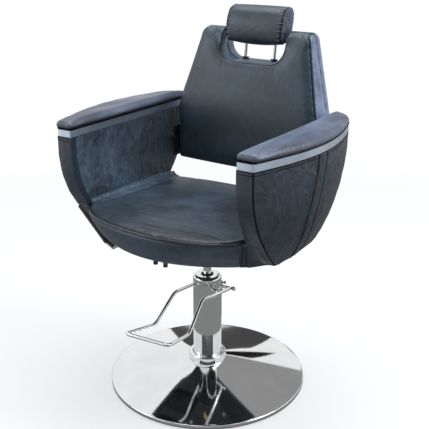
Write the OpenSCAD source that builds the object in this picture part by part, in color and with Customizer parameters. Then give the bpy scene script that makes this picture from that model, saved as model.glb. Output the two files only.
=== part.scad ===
// Salon chair on a hydraulic pump: round base, pedal, upholstered shell seat, reclining back, headrest.
// Millimetres, +Z up, the sitter faces -Y and +X is the sitter's left.
// The origin is on the floor, at the middle of the base.

/* [Base] */
// Radius of the round base
base_r = 300; // [270:5:330]
// Height of the dome's rim above the floor
rim_h = 14; // [12:1:18]
// Height of the dome at its flat top
dome_h = 65; // [58:1:75]
// Thickness of the spun dome
dome_wall = 2.5; // [2:0.5:3]
// Height of the rubber foot ring
foot_h = 6; // [5:0.5:7]
// Width of the rubber foot ring
foot_w = 18; // [14:1:24]
// Thickness of the cast weight under the dome
weight_t = 12; // [8:1:14]
// Outer radius of the collar round the foot of the column
collar_r = 57; // [54:1:62]
// Height of the collar
collar_h = 20; // [14:1:26]

/* [Column and pump] */
// Outer radius of the column tube
tube_r = 43; // [40:1:46]
// Wall of the column tube
tube_wall = 3.5; // [2.5:0.5:4.5]
// Height of the top of the column tube
tube_top = 326; // [320:1:332]
// Height of the domed cap
cap_h = 19; // [17:1:22]
// Radius of the piston rod
rod_r = 12; // [11:0.5:13]
// Wall of the inner oil cylinder
cylinder_wall = 4; // [3:0.5:5]
// Outer radius of the inner oil cylinder
cylinder_r = 30; // [28:1:32]
// Radius of the plunger
plunger_r = 4; // [3.5:0.5:5]
// Outer radius of the plunger barrel
barrel_r = 12; // [11:1:13]

/* [Pedal] */
// Radius of the pedal rod
pedal_r = 5; // [4:0.5:6]
// Turn of the pump and pedal about the column, in degrees
pedal_turn = 5; // [0:1:10]
// Height of the foot bar
foot_bar_z = 284; // [270:1:292]
// Reach of the foot bar in front of the column's axis
foot_bar_reach = 333; // [310:1:350]
// Half length of the foot bar
foot_bar_half = 69; // [64:1:76]
// Height of the pedal shaft
shaft_z = 287; // [284:1:292]
// Radius of the pedal shaft
shaft_r = 5; // [4.5:0.5:5.5]

/* [Seat] */
// Height of the underside of the mounting plate
plate_z = 460; // [455:1:480]
// Thickness of the mounting plate
plate_t = 8; // [6:1:10]
// Width of the square mounting plate
plate_w = 160; // [150:5:180]
// Height of the seat rails
rail_h = 22; // [20:1:26]
// Width of the seat rails
rail_w = 30; // [26:1:36]
// Thickness of the seat board
board_t = 12; // [9:1:15]
// Half width between the arms
seat_half = 266; // [250:2:280]
// Reach of the seat's front edge in front of the column's axis
seat_front = 318; // [300:2:330]
// Reach of the seat's rear edge behind the column's axis
seat_rear = 226; // [220:1:230]
// Height of the seat's front edge above the seat board's underside
seat_h = 90; // [84:1:96]
// Fall of the seat's top from front to rear
seat_fall = 20; // [10:1:26]
// Height of the front apron
apron_h = 74; // [68:1:76]
// Thickness of the front apron
apron_t = 28; // [22:1:32]

/* [Arms] */
// Height of the upholstered arm side
arm_h = 294; // [284:2:310]
// Width of the arm at its front band
arm_w = 49; // [45:1:54]
// Swell of the arm's outer side
arm_swell = 56; // [46:1:62]
// Reach of the arm in front of the column's axis
arm_front_reach = 270.5; // [264:0.5:278]
// Reach of the arm behind the column's axis
arm_rear_reach = 271; // [262:1:276]
// Thickness of the inner lining pad
lining_t = 13.7; // [12.7:0.5:14.7]
// Thickness of the arm's inner panel
panel_t = 18; // [16:1:19]
// Wall of the outer upholstered shell
shell_wall = 10; // [9:1:14]
// Depth of the front band, front to back
band_t = 24; // [20:1:28]
// Height of the metal trim strip
trim_h = 21; // [17:1:25]
// Thickness of the metal trim strip
trim_t = 2.5; // [2:0.5:3.5]
// Height of the arm pad at its crown
pad_h = 22; // [18:1:28]
// Overhang of the arm pad past the trim's outer side
pad_over = 5; // [3:0.5:7]

/* [Back] */
// Height of the gap from the seat board's underside up to the back
back_gap = 132; // [128:1:140]
// Height of the upright lower part of the back
back_upright = 180.5; // [172:0.5:190]
// Height of the leaning upper part of the back
back_lean_h = 236; // [226:1:246]
// Gap between each arm's inner side and the back
back_side_gap = 18; // [16:1:22]
// Half width of the back at its top
back_top_half = 187; // [180:1:196]
// Front face of the back, behind the column's axis
back_y = 187; // [184:1:190]
// Lean of the upper part, in degrees
back_lean = 14.5; // [12:0.5:16]
// Thickness of the back at its lower part
back_t = 100; // [96:1:104]
// Thickness of the back at its top
back_top_t = 64; // [60:1:68]
// Half width of the notch under the headrest
notch_half = 108; // [100:1:114]
// Depth of the notch below the back's top
notch_h = 92; // [84:1:98]
// Radius of the notch's lower corners
notch_r = 50; // [40:1:56]

/* [Headrest] */
// Half width of the headrest
head_half = 97; // [90:1:110]
// Height of the headrest
head_h = 107; // [100:1:116]
// Depth of the headrest
head_t = 70; // [66:1:74]
// Gap between the notch's floor and the headrest
head_gap = 54; // [48:1:60]
// Radius of the headrest posts
post_r = 5; // [4.5:0.5:6]
// Half distance between the headrest posts
post_half = 50; // [44:1:58]

/* [Recline gear] */
// Radius of the back's pivot pins
pin_r = 8; // [7:0.5:9]
// Distance of the pivot behind the column's axis
pivot_y = 205; // [202:1:207]
// Distance of the pivot below the arm's trim
pivot_drop = 104; // [100:1:108]
// Radius of the gas spring's tube
gas_r = 9; // [8:0.5:9.5]
// Radius of the gas spring's rod
gas_rod_r = 4; // [3.5:0.5:4.5]
// Length of the lever's grip
grip_l = 141; // [130:1:148]
// Radius of the lever's grip
grip_r = 8; // [7:0.5:8.5]

/* [Hidden] */
// Facets of a full circle
$fn = 64;

// Gap between parts that turn or slide in each other
run_gap = 0.05;
// Gap between parts that lie on each other
seat_gap = 0.3;
// Overrun of a cut past the surface that it leaves
cut = 1;
// Gap round a bolt in its hole
bolt_gap = 0.2;

// Base
dome_bore = tube_r + bolt_gap;
flange_r = 72;
flange_t = 8;
flange_z = foot_h + weight_t;
bolt_r = 5;
bolt_head_r = 8;
bolt_head_h = 4;
bolt_ring_r = 58;
bolt_count = 6;
foot_lip_h = 4;
foot_in = 5;
foot_in_h = 2.5;
foot_lip_w = 5;
collar_chamfer = 3;

// Column: the tube's foot stands on its flange
tube_foot = flange_z + flange_t;
tube_bore = tube_r - tube_wall;
cap_skirt_h = 8;
cap_round = 9;
bush_r = 20;
bush_h = cap_h + cap_skirt_h - 4 * bolt_gap;
bush_z = tube_top - cap_skirt_h;
wiper_h = 3;
wiper_wall = 4;
wiper_r = rod_r + wiper_wall;
cylinder_bore = cylinder_r - cylinder_wall;
cylinder_foot = tube_foot;
cylinder_top = bush_z - seat_gap;
cap_top = tube_top + cap_h;

// Pedal group, in its own frame before it is turned about the column
shaft_gap = 4;
shaft_y = tube_r + shaft_r + shaft_gap;
shaft_half = 60;
nut_r = 7;
nut_l = 9;
ear_t = 5;
ear_in = 16;
ear_h = 34;
hub_r = 8.5;
hub_half = ear_in - seat_gap;
tine_t = 4;
tine_w = 5;
toe_l = 17;
toe_over = 1;
plunger_y = shaft_y + toe_l - toe_over;
plunger_head_r = 8;
plunger_head_h = 4;
plunger_in = 60;
barrel_drop = 16;
barrel_top = shaft_z - hub_r - barrel_drop;
barrel_h = 92;
barrel_web = 8;
release_drop = 9;
release_z = tube_top - release_drop;
release_r = 2.5;
release_l = 8;
release_head_r = 5;
release_head_l = 5;
// Direction of the release screw about the column, in degrees
release_turn = 30;
arm_low_half = 57;
arm_low_y = 207;
arm_low_drop = 29;
arm_low_z = foot_bar_z - arm_low_drop;
arm_high_half = 47;
arm_high_y = 112;
arm_high_rise = 33;
arm_high_z = shaft_z + arm_high_rise;
arm_jog_half = 52;
arm_jog_y = 56;
arm_jog_rise = 20;
arm_jog_z = shaft_z + arm_jog_rise;
bend_r = 16;

// Piston: the rod's spigot passes through the mounting plate
boss_h = 14;
boss_r = 22;
boss_z = plate_z - boss_h;
washer_t = 2.7;
washer_r = 20;
washer_z = boss_z - seat_gap - washer_t;
spigot_r = 9;
rod_foot = 146;
head_h_piston = 22;
nut_gap = seat_gap;
swivel_nut_h = 6;
swivel_nut_r = 15;
plate_top = plate_z + plate_t;
swivel_top = plate_top + nut_gap + swivel_nut_h;

// Seat: the rails lie on the plate, the board on the rails
rail_y = 60;
rail_wall = 2.5;
seat_z = plate_top + rail_h;
rail_in = 4;
rail_half = seat_half - rail_in;
strap_y = 92;
strap_w = 30;
strap_l = 120;
strap_t = 5;
strap_over = 4;
plate_bolt_r = 4;
plate_bolt_head_r = 7;
plate_bolt_head_h = 5;
board_top = seat_z + board_t;
seat_top = seat_z + seat_h;
side_gap = 1.5;
cushion_half = seat_half - side_gap;
apron_drop = 7;
cheek_w = 11;
apron_half = seat_half - cheek_w;
apron_z = seat_top - apron_drop - apron_h;
apron_top = apron_z + apron_h;
board_in = 26;
board_rear = seat_rear - board_in;
// The front outline falls back from the middle by a bow and, at the corners, by a sharper turn
front_bow = 61;
front_corner = 53;
apron_up_shares = [0, 0.04, 0.25, 0.5, 0.75, 0.97, 1];
apron_bulge_shares = [0, 0, 0.7, 1, 0.7, 0, 0];
apron_in_shares = [1, 0.35, 0, 0, 0, 0, 0.35];
apron_bulge = 3;
apron_edge = 6;
apron_foot_in = 25;
apron_slant = 18;
apron_foot_bow = 112;
corner_power = 8;
rear_bow = 27;
seat_crown = 9;
seat_edge_h = 3.8;
fall_start = 105;
seat_draw = 4;
crown_out_shares = [0.998, 0.975, 0.93, 0.8, 0.6, 0.4, 0.2];
crown_drop_shares = [0.4, 0.15, 0, 0, 0, 0, 0];
seat_lip = 1.2;
seat_middle_y = -16;
side_points = 6;
seat_steps = 14;
clamp_x = -10;
clamp_y = -214;
clamp_w = 72;
clamp_d = 34;
clamp_h = 22;
clamp_pitch = 34;
clamp_screw_r = 4;
clamp_screw_l = 24;
clamp_drop = 7;
clamp_cap_r = 6.5;
clamp_cap_h = 12;

// Lever: a bent flat bar on a pin across the bracket, in the plane of its own width
lever_in = 71;
lever_x = lever_in - seat_half;
lever_y = -132;
lever_drop = 18;
lever_z = seat_z - lever_drop;
lever_w = 18;
lever_t = 5;
lever_pin_r = 4;
lever_pin_over = 1;
lever_eye_r = 8;
lever_ear_t = 4;
lever_ear_h = 12;
elbow_out = 51;
elbow_down = 54;
knee_out = 25;
knee_up = 12;
// Rise of the grip above level, in degrees
grip_rise = 44.5;
grip_start = 3;
bar_in_grip = 60;
grip_wall = 3;

// Arms, drawn for the sitter's left side and mirrored for the right
arm_z = seat_z + seat_gap;
trim_z = seat_z + arm_h;
arm_foot_w = 42;
foot_swell_share = 0.04;
front_draw = 126;
front_knee_h = 260;
front_foot_h = 10;
front_power = 2.2;
rear_draw = 187;
rear_power = 2.24;
swell_power = 2.5;
arm_straight_h = 78;
straight_power = 1.5;
arm_end_r = 48;
arm_end_low_r = 3;
arm_front_r = 9;
band_across_shares = [0, 0.06, 0.25, 0.5, 0.75, 0.94, 1];
band_foot_shares = [0, 0.1, 0.22, 0.35, 0.5, 0.65, 0.8, 0.9, 1];
band_up_shares = [0, 0.08, 0.18, 0.3, 0.42, 0.55, 0.7, 0.85, 0.96, 1];
band_turn_share = 0.6;
band_inner_shares = [0.96, 0.8, 0.5, 0];
band_crown = 1.5;
band_blend = 30;
band_step = 1;
band_gap = 0.9;
arm_end_w = 18;
arm_end_over = 1;
plan_front_in = 1;
over_power = 3;
side_steps = 11;
height_steps = 12;
lining_x = seat_half;
lining_crown = 3;
lining_crown_rise = 14;
lining_in = 2;
lining_hole = 2;
shell_least = 3;
panel_x = lining_x + lining_t + seat_gap;
panel_out = panel_x + panel_t;
panel_inset = 14;
panel_rear_in = 34;
shell_x = panel_x;
cavity_inset = panel_inset - band_gap - 2 * seat_gap;
board_inset = trim_t + seat_gap;
pad_z = trim_z + trim_h;
arm_bolt_r = 4;
arm_bolt_l = 46;
arm_bolt_head_h = 3;
arm_bolt_head_r = 7;
arm_bolt_x = panel_x + panel_t / 2;
arm_bolt_y = strap_y;
pad_round = 11;
pad_draw = 2;
pad_in_shares = [0.1, 0.38, 0.85, 1.6];
pad_up_shares = [0.2, 0.6, 0.87, 1];

// Recline gear: the crank's pin runs along a chord that the gas spring's axis follows
pivot_z = trim_z - pivot_drop;
bush_wall = 4;
bush_out = pin_r + bush_wall;
hinge_t = 5;
back_half = seat_half - back_side_gap;
hinge_x = back_half + seat_gap;
hinge_w = 44;
hinge_l = 96;
crank_t = 4;
crank_gap = 1;
crank_r = 11;
crank_end_r = 8;
crank_pin_y = -25;
crank_pin_z = -55;
crank_pin_r = 4;
crank_pin_l = 7;
recline = 35;
gas_off = 5;
gas_x = panel_out + crank_gap + crank_t + gas_off;
eye_t = 4;
gas_eye_gap = 0.35;
gas_reach = 200;
gas_tube_start = 72;
gas_rod_l = 132;
gas_end_gap = 10;
crank_l = norm([crank_pin_y, crank_pin_z]);
crank_rest = atan2(crank_pin_z, crank_pin_y);
chord_turn = crank_rest - recline / 2 - 90;
gas_sag = crank_l * (1 - cos(recline / 2));
gas_y0 = pivot_y + crank_pin_y + gas_sag / 2 * cos(crank_rest - recline / 2);
gas_z0 = pivot_z + crank_pin_z + gas_sag / 2 * sin(crank_rest - recline / 2);
eye_bore = crank_pin_r + gas_sag / 2 + gas_eye_gap;
eye_wall = 4;
eye_r = eye_bore + eye_wall;

// Back: levels are heights above its lower edge
back_z = seat_z + back_gap;
bend_z = back_z + back_upright;
back_top = bend_z + back_lean_h;
back_corner = 14;
back_crown = 7;
back_edge_r = 20;
back_foot_r = 12;
cover_t = 26;
back_board_t = 12;
cover_wall = 5;
back_board_inset = 16;
notch_z = back_top - notch_h;
notch_cut_y = 400;

// Headrest: its posts lean with the back's rear face
post_lean = 7.5;
post_back = 2.5;
post_in = cover_t / 2 + post_back;
sleeve_wall = 3;
sleeve_r = post_r + sleeve_wall;
sleeve_l = 60;
sleeve_rim_w = 3;
sleeve_rim_r = sleeve_r + sleeve_rim_w;
sleeve_rim_h = 3;
post_below = 78;
post_above = 132;
head_z = notch_z + head_gap;
head_set = 14;
head_y = back_front(notch_z) + head_set;
post_y0 = back_rear(notch_z) - post_in;

function lerp(a, b, t) = a + (b - a) * t;
function clamp01(t) = max(0, min(1, t));
// How far a rounded edge of radius r draws in, at distance d from the end
function round_in(r, d) = d >= r ? 0 : r - sqrt(max(0, r * r - (r - d) * (r - d)));

// Closed skin over rings of points that run anticlockwise seen from the last ring's side
module skin(rings) {
    n = len(rings[0]);
    m = len(rings);
    mean = function(ring) [for (k = [0:2]) ring_sum(ring, k) / n];
    points = concat([for (ring = rings) each ring], [mean(rings[0]), mean(rings[m - 1])]);
    sides = [for (j = [0:m - 2], i = [0:n - 1])
        let (a = j * n + i, b = j * n + (i + 1) % n, c = a + n, d = b + n)
        each [[a, d, b], [a, c, d]]];
    foot = [for (i = [0:n - 1]) [i, (i + 1) % n, m * n]];
    head = [for (i = [0:n - 1]) [(m - 1) * n + (i + 1) % n, (m - 1) * n + i, m * n + 1]];
    polyhedron(points = points, faces = concat(sides, foot, head), convexity = 8);
}
function ring_sum(ring, k, i = 0) = i >= len(ring) ? 0 : ring[i][k] + ring_sum(ring, k, i + 1);

// Turns the pump's own parts about the column
module pump_frame() {
    rotate([0, 0, pedal_turn])
        children();
}
// A cylinder along X from its middle
module rod_x(r, half) {
    rotate([0, 90, 0])
        cylinder(r = r, h = 2 * half, center = true);
}

// Base

// The dome is a shallow cone from its flat top to its rim
function dome_z(r) = lerp(dome_h, rim_h, (r - collar_r) / (base_r - collar_r));
// Radius at which something of a height stays clear of the dome's inner face
function under_dome_r(z) = lerp(collar_r, base_r, (dome_h - dome_wall - seat_gap - z) / (dome_h - rim_h));
module base_dome() {
    rim_in = base_r - dome_wall;
    color([0.85, 0.86, 0.88])
        rotate_extrude($fn = 128)
            polygon([[dome_bore, dome_h - dome_wall], [dome_bore, dome_h], [collar_r, dome_h], [base_r, rim_h],
                [base_r, foot_h], [rim_in, foot_h], [rim_in, dome_z(rim_in) - dome_wall],
                [collar_r, dome_h - dome_wall]]);
}
module base_foot_ring() {
    lip_r = base_r - dome_wall - seat_gap;
    color([0.08, 0.08, 0.08])
        rotate_extrude($fn = 128)
            polygon([[base_r - foot_w, 0], [base_r - foot_in, 0], [base_r - foot_in, foot_h - foot_in_h],
                [base_r, foot_h - foot_in_h], [base_r, foot_h], [lip_r, foot_h],
                [lip_r, foot_h + foot_lip_h], [lip_r - foot_lip_w, foot_h + foot_lip_h],
                [lip_r - foot_lip_w, foot_h], [base_r - foot_w, foot_h]]);
}
module base_weight() {
    ledge_h = weight_t - foot_lip_h;
    ledge_r = min(base_r - dome_wall - 2 * seat_gap - foot_lip_w, under_dome_r(foot_h + ledge_h));
    color([0.25, 0.25, 0.26])
        difference() {
            translate([0, 0, foot_h])
                cylinder(r = ledge_r, h = ledge_h);
            bolt_holes();
        }
    color([0.25, 0.25, 0.26])
        difference() {
            translate([0, 0, foot_h + ledge_h])
                cylinder(r = under_dome_r(foot_h + weight_t), h = foot_lip_h);
            bolt_holes();
        }
}
module bolt_holes() {
    for (i = [0:bolt_count - 1])
        rotate([0, 0, 360 * i / bolt_count])
            translate([bolt_ring_r, 0, 0])
                cylinder(r = bolt_r + bolt_gap, h = tube_foot + cut);
}
module base_bolts() {
    color([0.55, 0.56, 0.58])
        for (i = [0:bolt_count - 1])
            rotate([0, 0, 360 * i / bolt_count])
                translate([bolt_ring_r, 0, foot_h - bolt_head_h]) {
                    cylinder(r = bolt_head_r, h = bolt_head_h);
                    cylinder(r = bolt_r, h = bolt_head_h + weight_t + flange_t);
                }
}
module column_tube() {
    color([0.8, 0.81, 0.83])
        difference() {
            union() {
                translate([0, 0, flange_z])
                    cylinder(r = flange_r, h = flange_t);
                translate([0, 0, flange_z])
                    cylinder(r = tube_r, h = tube_top - flange_z);
            }
            translate([0, 0, tube_foot])
                cylinder(r = tube_bore, h = tube_top);
            bolt_holes();
        }
}
module collar_ring() {
    top = dome_h + collar_h;
    color([0.85, 0.86, 0.88])
        rotate_extrude($fn = 96)
            polygon([[dome_bore, dome_h], [collar_r, dome_h], [collar_r, top - collar_chamfer],
                [collar_r - collar_chamfer, top], [dome_bore, top]]);
}
module column_cap() {
    bore = bush_r + bolt_gap;
    steps = 8;
    dome = [for (i = [0:steps])
        let (a = 90 * i / steps)
        [tube_r - cap_round * (1 - cos(a)), cap_top - cap_round * (1 - sin(a))]];
    color([0.82, 0.83, 0.85])
        rotate_extrude($fn = 96)
            polygon(concat([[bore, bush_z], [tube_bore - bolt_gap, bush_z],
                [tube_bore - bolt_gap, tube_top], [tube_r, tube_top]], dome, [[bore, cap_top]]));
}
module oil_cylinder() {
    color([0.6, 0.6, 0.62])
        difference() {
            translate([0, 0, cylinder_foot])
                cylinder(r = cylinder_r, h = cylinder_top - cylinder_foot);
            translate([0, 0, cylinder_foot + cylinder_wall])
                cylinder(r = cylinder_bore, h = cylinder_top);
        }
}
module rod_bush() {
    color([0.72, 0.6, 0.3])
        difference() {
            translate([0, 0, bush_z])
                cylinder(r = bush_r, h = bush_h);
            translate([0, 0, bush_z - cut])
                cylinder(r = rod_r + run_gap, h = bush_h + 2 * cut);
        }
}
module rod_wiper() {
    z = bush_z + bush_h;
    color([0.06, 0.06, 0.06])
        difference() {
            translate([0, 0, z])
                cylinder(r = wiper_r, h = wiper_h);
            translate([0, 0, z - cut])
                cylinder(r = rod_r + run_gap, h = wiper_h + 2 * cut);
        }
}
module pedal_bracket() {
    reach = shaft_y + hub_r;
    ear = [[0, shaft_z - ear_h / 2], [reach, shaft_z - ear_h / 2], [reach, shaft_z + ear_h / 2],
        [0, shaft_z + ear_h / 2]];
    color([0.78, 0.79, 0.81])
        pump_frame()
            for (side = [-1, 1])
                difference() {
                    translate([side * (ear_in + ear_t / 2), 0, 0])
                        rotate([90, 0, 90])
                            translate([0, 0, -ear_t / 2])
                                linear_extrude(ear_t)
                                    polygon(ear);
                    translate([0, 0, shaft_z - ear_h])
                        cylinder(r = tube_r, h = 2 * ear_h);
                    translate([0, shaft_y, shaft_z])
                        rod_x(shaft_r + run_gap, shaft_half);
                }
}
module plunger_barrel() {
    foot = barrel_top - barrel_h;
    color([0.78, 0.79, 0.81])
        pump_frame()
            difference() {
                union() {
                    translate([0, plunger_y, foot])
                        cylinder(r = barrel_r, h = barrel_h);
                    translate([-barrel_web / 2, 0, foot])
                        cube([barrel_web, plunger_y, barrel_h]);
                }
                translate([0, 0, foot - cut])
                    cylinder(r = tube_r, h = barrel_h + 2 * cut);
                translate([0, plunger_y, barrel_top - plunger_in - toe_l])
                    cylinder(r = plunger_r + run_gap, h = barrel_h);
            }
}
module release_screw() {
    color([0.78, 0.79, 0.81])
        difference() {
            translate([0, 0, release_z])
                rotate([0, 90, release_turn]) {
                    cylinder(r = release_r, h = tube_r + release_l);
                    translate([0, 0, tube_r + release_l])
                        cylinder(r = release_head_r, h = release_head_l);
                }
            translate([0, 0, release_z - tube_r / 2])
                cylinder(r = tube_r, h = tube_r);
        }
}

// Pedal

// The pedal rod's path, from the shaft on one side round the foot bar to the other side
function pedal_half(side) = [
    [side * arm_jog_half, shaft_y, shaft_z],
    [side * arm_jog_half, -arm_jog_y, arm_jog_z],
    [side * arm_high_half, -arm_high_y, arm_high_z],
    [side * arm_low_half, -arm_low_y, arm_low_z],
    [side * foot_bar_half, -foot_bar_reach, foot_bar_z]];
function reversed(list) = [for (i = [len(list) - 1:-1:0]) list[i]];
function unit(v) = v / norm(v);
// Replaces each inner corner of a path with a short curve
function eased(path, r, steps) = [for (i = [0:len(path) - 1])
    each (i == 0 || i == len(path) - 1) ? [path[i]] :
        let (a = path[i] + r * unit(path[i - 1] - path[i]), b = path[i] + r * unit(path[i + 1] - path[i]))
        [for (k = [0:steps]) let (t = k / steps)
            (1 - t) * (1 - t) * a + 2 * t * (1 - t) * path[i] + t * t * b]];
// Rings square to a path, each turned as little as possible from the one before
function frames(path, i = 0, side = [0, 0, 1]) = i >= len(path) ? [] :
    let (before = path[max(0, i - 1)], after = path[min(len(path) - 1, i + 1)], t = unit(after - before),
        u = unit(side - (side * t) * t))
    concat([[path[i], u, cross(t, u)]], frames(path, i + 1, u));
module tube_along(path, r, sides) {
    skin([for (f = frames(path)) [for (k = [0:sides - 1]) let (a = 360 * k / sides)
        f[0] + r * (cos(a) * f[1] + sin(a) * f[2])]]);
}
module pedal_loop() {
    path = concat(pedal_half(-1), reversed(pedal_half(1)));
    color([0.85, 0.86, 0.88])
        pump_frame()
            difference() {
                tube_along(eased(path, bend_r, 5), pedal_r, 14);
                translate([0, shaft_y, shaft_z])
                    rod_x(shaft_r, shaft_half + cut);
            }
}
module pedal_shaft() {
    color([0.7, 0.71, 0.73])
        pump_frame()
            translate([0, shaft_y, shaft_z])
                rod_x(shaft_r, shaft_half);
}
module pedal_nuts() {
    color([0.82, 0.83, 0.85])
        pump_frame()
            for (side = [-1, 1])
                translate([side * shaft_half, shaft_y, shaft_z])
                    rotate([0, side * 90, 0]) {
                        cylinder(r = nut_r, h = nut_l - nut_r / 2);
                        translate([0, 0, nut_l - nut_r / 2])
                            cylinder(r1 = nut_r, r2 = nut_r / 2, h = nut_r / 2);
                    }
}
module pedal_yoke() {
    color([0.6, 0.6, 0.62])
        pump_frame()
            difference() {
                union() {
                    translate([0, shaft_y, shaft_z])
                        rod_x(hub_r, hub_half);
                    for (side = [-1, 1])
                        translate([side * (plunger_r + seat_gap + tine_w / 2) - tine_w / 2, shaft_y,
                                shaft_z - tine_t / 2])
                            cube([tine_w, toe_l, tine_t]);
                }
                translate([0, shaft_y, shaft_z])
                    rod_x(shaft_r, hub_half + cut);
                translate([0, plunger_y, shaft_z - hub_r - cut])
                    cylinder(r = plunger_head_r + seat_gap, h = hub_r + cut - tine_t / 2);
                translate([0, plunger_y, shaft_z + tine_t / 2])
                    cylinder(r = plunger_head_r + seat_gap, h = hub_r + cut);
            }
}
module pump_plunger() {
    head_z = shaft_z + tine_t / 2 + seat_gap;
    color([0.66, 0.67, 0.69])
        pump_frame()
            translate([0, plunger_y, 0]) {
                translate([0, 0, barrel_top - plunger_in])
                    cylinder(r = plunger_r, h = head_z - barrel_top + plunger_in);
                translate([0, 0, head_z])
                    cylinder(r = plunger_head_r, h = plunger_head_h);
            }
}

// Piston

module piston_rod() {
    color([0.8, 0.81, 0.83]) {
        translate([0, 0, rod_foot])
            cylinder(r = rod_r, h = washer_z - rod_foot);
        translate([0, 0, washer_z])
            cylinder(r = spigot_r, h = swivel_top - washer_z);
    }
}
module piston_head() {
    color([0.5, 0.5, 0.52])
        translate([0, 0, rod_foot - head_h_piston])
            cylinder(r = cylinder_bore - run_gap, h = head_h_piston);
}
module thrust_washer() {
    color([0.9, 0.88, 0.8])
        difference() {
            translate([0, 0, washer_z])
                cylinder(r = washer_r, h = washer_t);
            translate([0, 0, washer_z - cut])
                cylinder(r = spigot_r, h = washer_t + 2 * cut);
        }
}
module swivel_nut() {
    color([0.55, 0.56, 0.58])
        difference() {
            translate([0, 0, plate_top + nut_gap])
                cylinder(r = swivel_nut_r, h = swivel_nut_h, $fn = 6);
            translate([0, 0, plate_top])
                cylinder(r = spigot_r, h = swivel_nut_h + 2 * cut);
        }
}

// Seat

module mounting_plate() {
    color([0.12, 0.12, 0.13])
        difference() {
            union() {
                translate([-plate_w / 2, -plate_w / 2, plate_z])
                    cube([plate_w, plate_w, plate_t]);
                translate([0, 0, boss_z])
                    cylinder(r = boss_r, h = boss_h);
            }
            translate([0, 0, boss_z - cut])
                cylinder(r = spigot_r + run_gap, h = boss_h + plate_t + 2 * cut);
            plate_bolt_places()
                translate([0, 0, plate_z - cut])
                    cylinder(r = plate_bolt_r + bolt_gap, h = plate_t + 2 * cut);
        }
}
module plate_bolt_places() {
    for (x = [-1, 1], y = [-1, 1])
        translate([x * rail_y, y * rail_y, 0])
            children();
}
module plate_bolts() {
    color([0.55, 0.56, 0.58])
        plate_bolt_places()
            translate([0, 0, plate_z - plate_bolt_head_h]) {
                cylinder(r = plate_bolt_head_r, h = plate_bolt_head_h);
                cylinder(r = plate_bolt_r, h = plate_bolt_head_h + plate_t + rail_h);
            }
}
module seat_rails() {
    color([0.12, 0.12, 0.13])
        for (side = [-1, 1])
            difference() {
                translate([-rail_half, side * rail_y - rail_w / 2, plate_top])
                    cube([2 * rail_half, rail_w, rail_h]);
                translate([-rail_half - cut, side * rail_y - rail_w / 2 + rail_wall, plate_top + rail_wall])
                    cube([2 * (rail_half + cut), rail_w - 2 * rail_wall, rail_h - 2 * rail_wall]);
                plate_bolt_places()
                    translate([0, 0, plate_top - cut])
                        cylinder(r = plate_bolt_r + bolt_gap, h = rail_h + 2 * cut);
            }
    color([0.12, 0.12, 0.13])
        for (x = [-1, 1], y = [-1, 1])
            difference() {
                translate([x * (arm_bolt_x + strap_over - strap_l / 2) - strap_l / 2, y * strap_y - strap_w / 2,
                        seat_z - strap_t])
                    cube([strap_l, strap_w, strap_t]);
                arm_bolt_places()
                    translate([0, 0, seat_z - strap_t - cut])
                        cylinder(r = arm_bolt_r + bolt_gap, h = strap_t + 2 * cut);
            }
}
// Front outline of the seat's upper edge, and of the apron's foot, at a place across the seat
function seat_front_y(x) = let (u = x / cushion_half)
    -seat_front + front_bow * u * u + front_corner * pow(u, corner_power);
function apron_foot_y(x) = let (u = x / cushion_half) -seat_front + apron_foot_in + apron_foot_bow * u * u;
function apron_y(x, z) = lerp(apron_foot_y(x), seat_front_y(x), clamp01((z - apron_z) / apron_h));
// Half width of the apron at a height: its side seams slant in towards the foot
function apron_side(z) = apron_half - apron_slant * (1 - clamp01((z - apron_z) / apron_h));
function seat_rear_y(x) = let (u = x / cushion_half) seat_rear - rear_bow * u * u;
// Seat outline, anticlockwise from the front left corner, drawn in by a distance
function seat_outline(half, front_in, rear_in, behind = false) =
    let (front = function(x) front_in + (behind ? apron_back_y(x) : seat_front_y(x)), a = front(half),
        b = seat_rear_y(half) - rear_in)
    concat([for (i = [0:seat_steps]) let (x = lerp(-half, half, i / seat_steps)) [x, front(x)]],
        [for (i = [1:side_points]) [half, lerp(a, b, i / (side_points + 1))]],
        [for (i = [seat_steps:-1:0]) let (x = lerp(-half, half, i / seat_steps)) [x, seat_rear_y(x) - rear_in]],
        [for (i = [side_points:-1:1]) [-half, lerp(a, b, i / (side_points + 1))]]);
function apron_back_y(x) = max(seat_front_y(x), apron_foot_y(x)) + apron_t;
module seat_board() {
    color([0.62, 0.5, 0.36])
        translate([0, 0, seat_z])
            linear_extrude(board_t)
                polygon(concat(
                    [for (i = [0:seat_steps]) let (x = lerp(-apron_half, apron_half, i / seat_steps))
                        [x, apron_back_y(x) + seat_gap]],
                    [[apron_half, board_rear], [-apron_half, board_rear]]));
}
// Height of the seat's top: it falls to the rear, past the front corners, and is crowned between the sides
function seat_top_z(x, y, half) =
    let (u = x / half, l = seat_front + seat_rear, v = clamp01((y + seat_front) / l),
        f = clamp01((y + seat_front - fall_start) / (l - fall_start)))
    seat_top - seat_fall * f + seat_crown * (1 - u * u) * sin(180 * v);
module seat_cushion() {
    low = board_top + seat_gap;
    shelf = apron_top + seat_gap;
    half = cushion_half;
    flat = function(inset, z) [for (p = seat_outline(half - inset, inset + seat_gap, inset, true)) [p[0], p[1], z]];
    // The side walls stop under the top's edge, or at the front under the lip over the apron
    wall = function(behind, inset, lift) [for (p = seat_outline(half - inset, inset + seat_gap, inset, behind))
        [p[0], p[1], min(shelf, seat_top_z(p[0], p[1], half) - seat_edge_h) + lift]];
    crowned = function(share, drop)
        [for (p = seat_outline(half, 0, 0))
            let (x = p[0] * share, y = lerp(seat_middle_y, p[1], share)) [x, y, seat_top_z(x, y, half) - drop]];
    color([0.2, 0.23, 0.27])
        skin([flat(seat_draw, low), flat(0, low + seat_draw), wall(true, 0, 0), wall(false, seat_lip, seat_lip / 2),
            for (k = [0:len(crown_out_shares) - 1])
                crowned(crown_out_shares[k], crown_drop_shares[k] * seat_edge_h)]);
}
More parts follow.
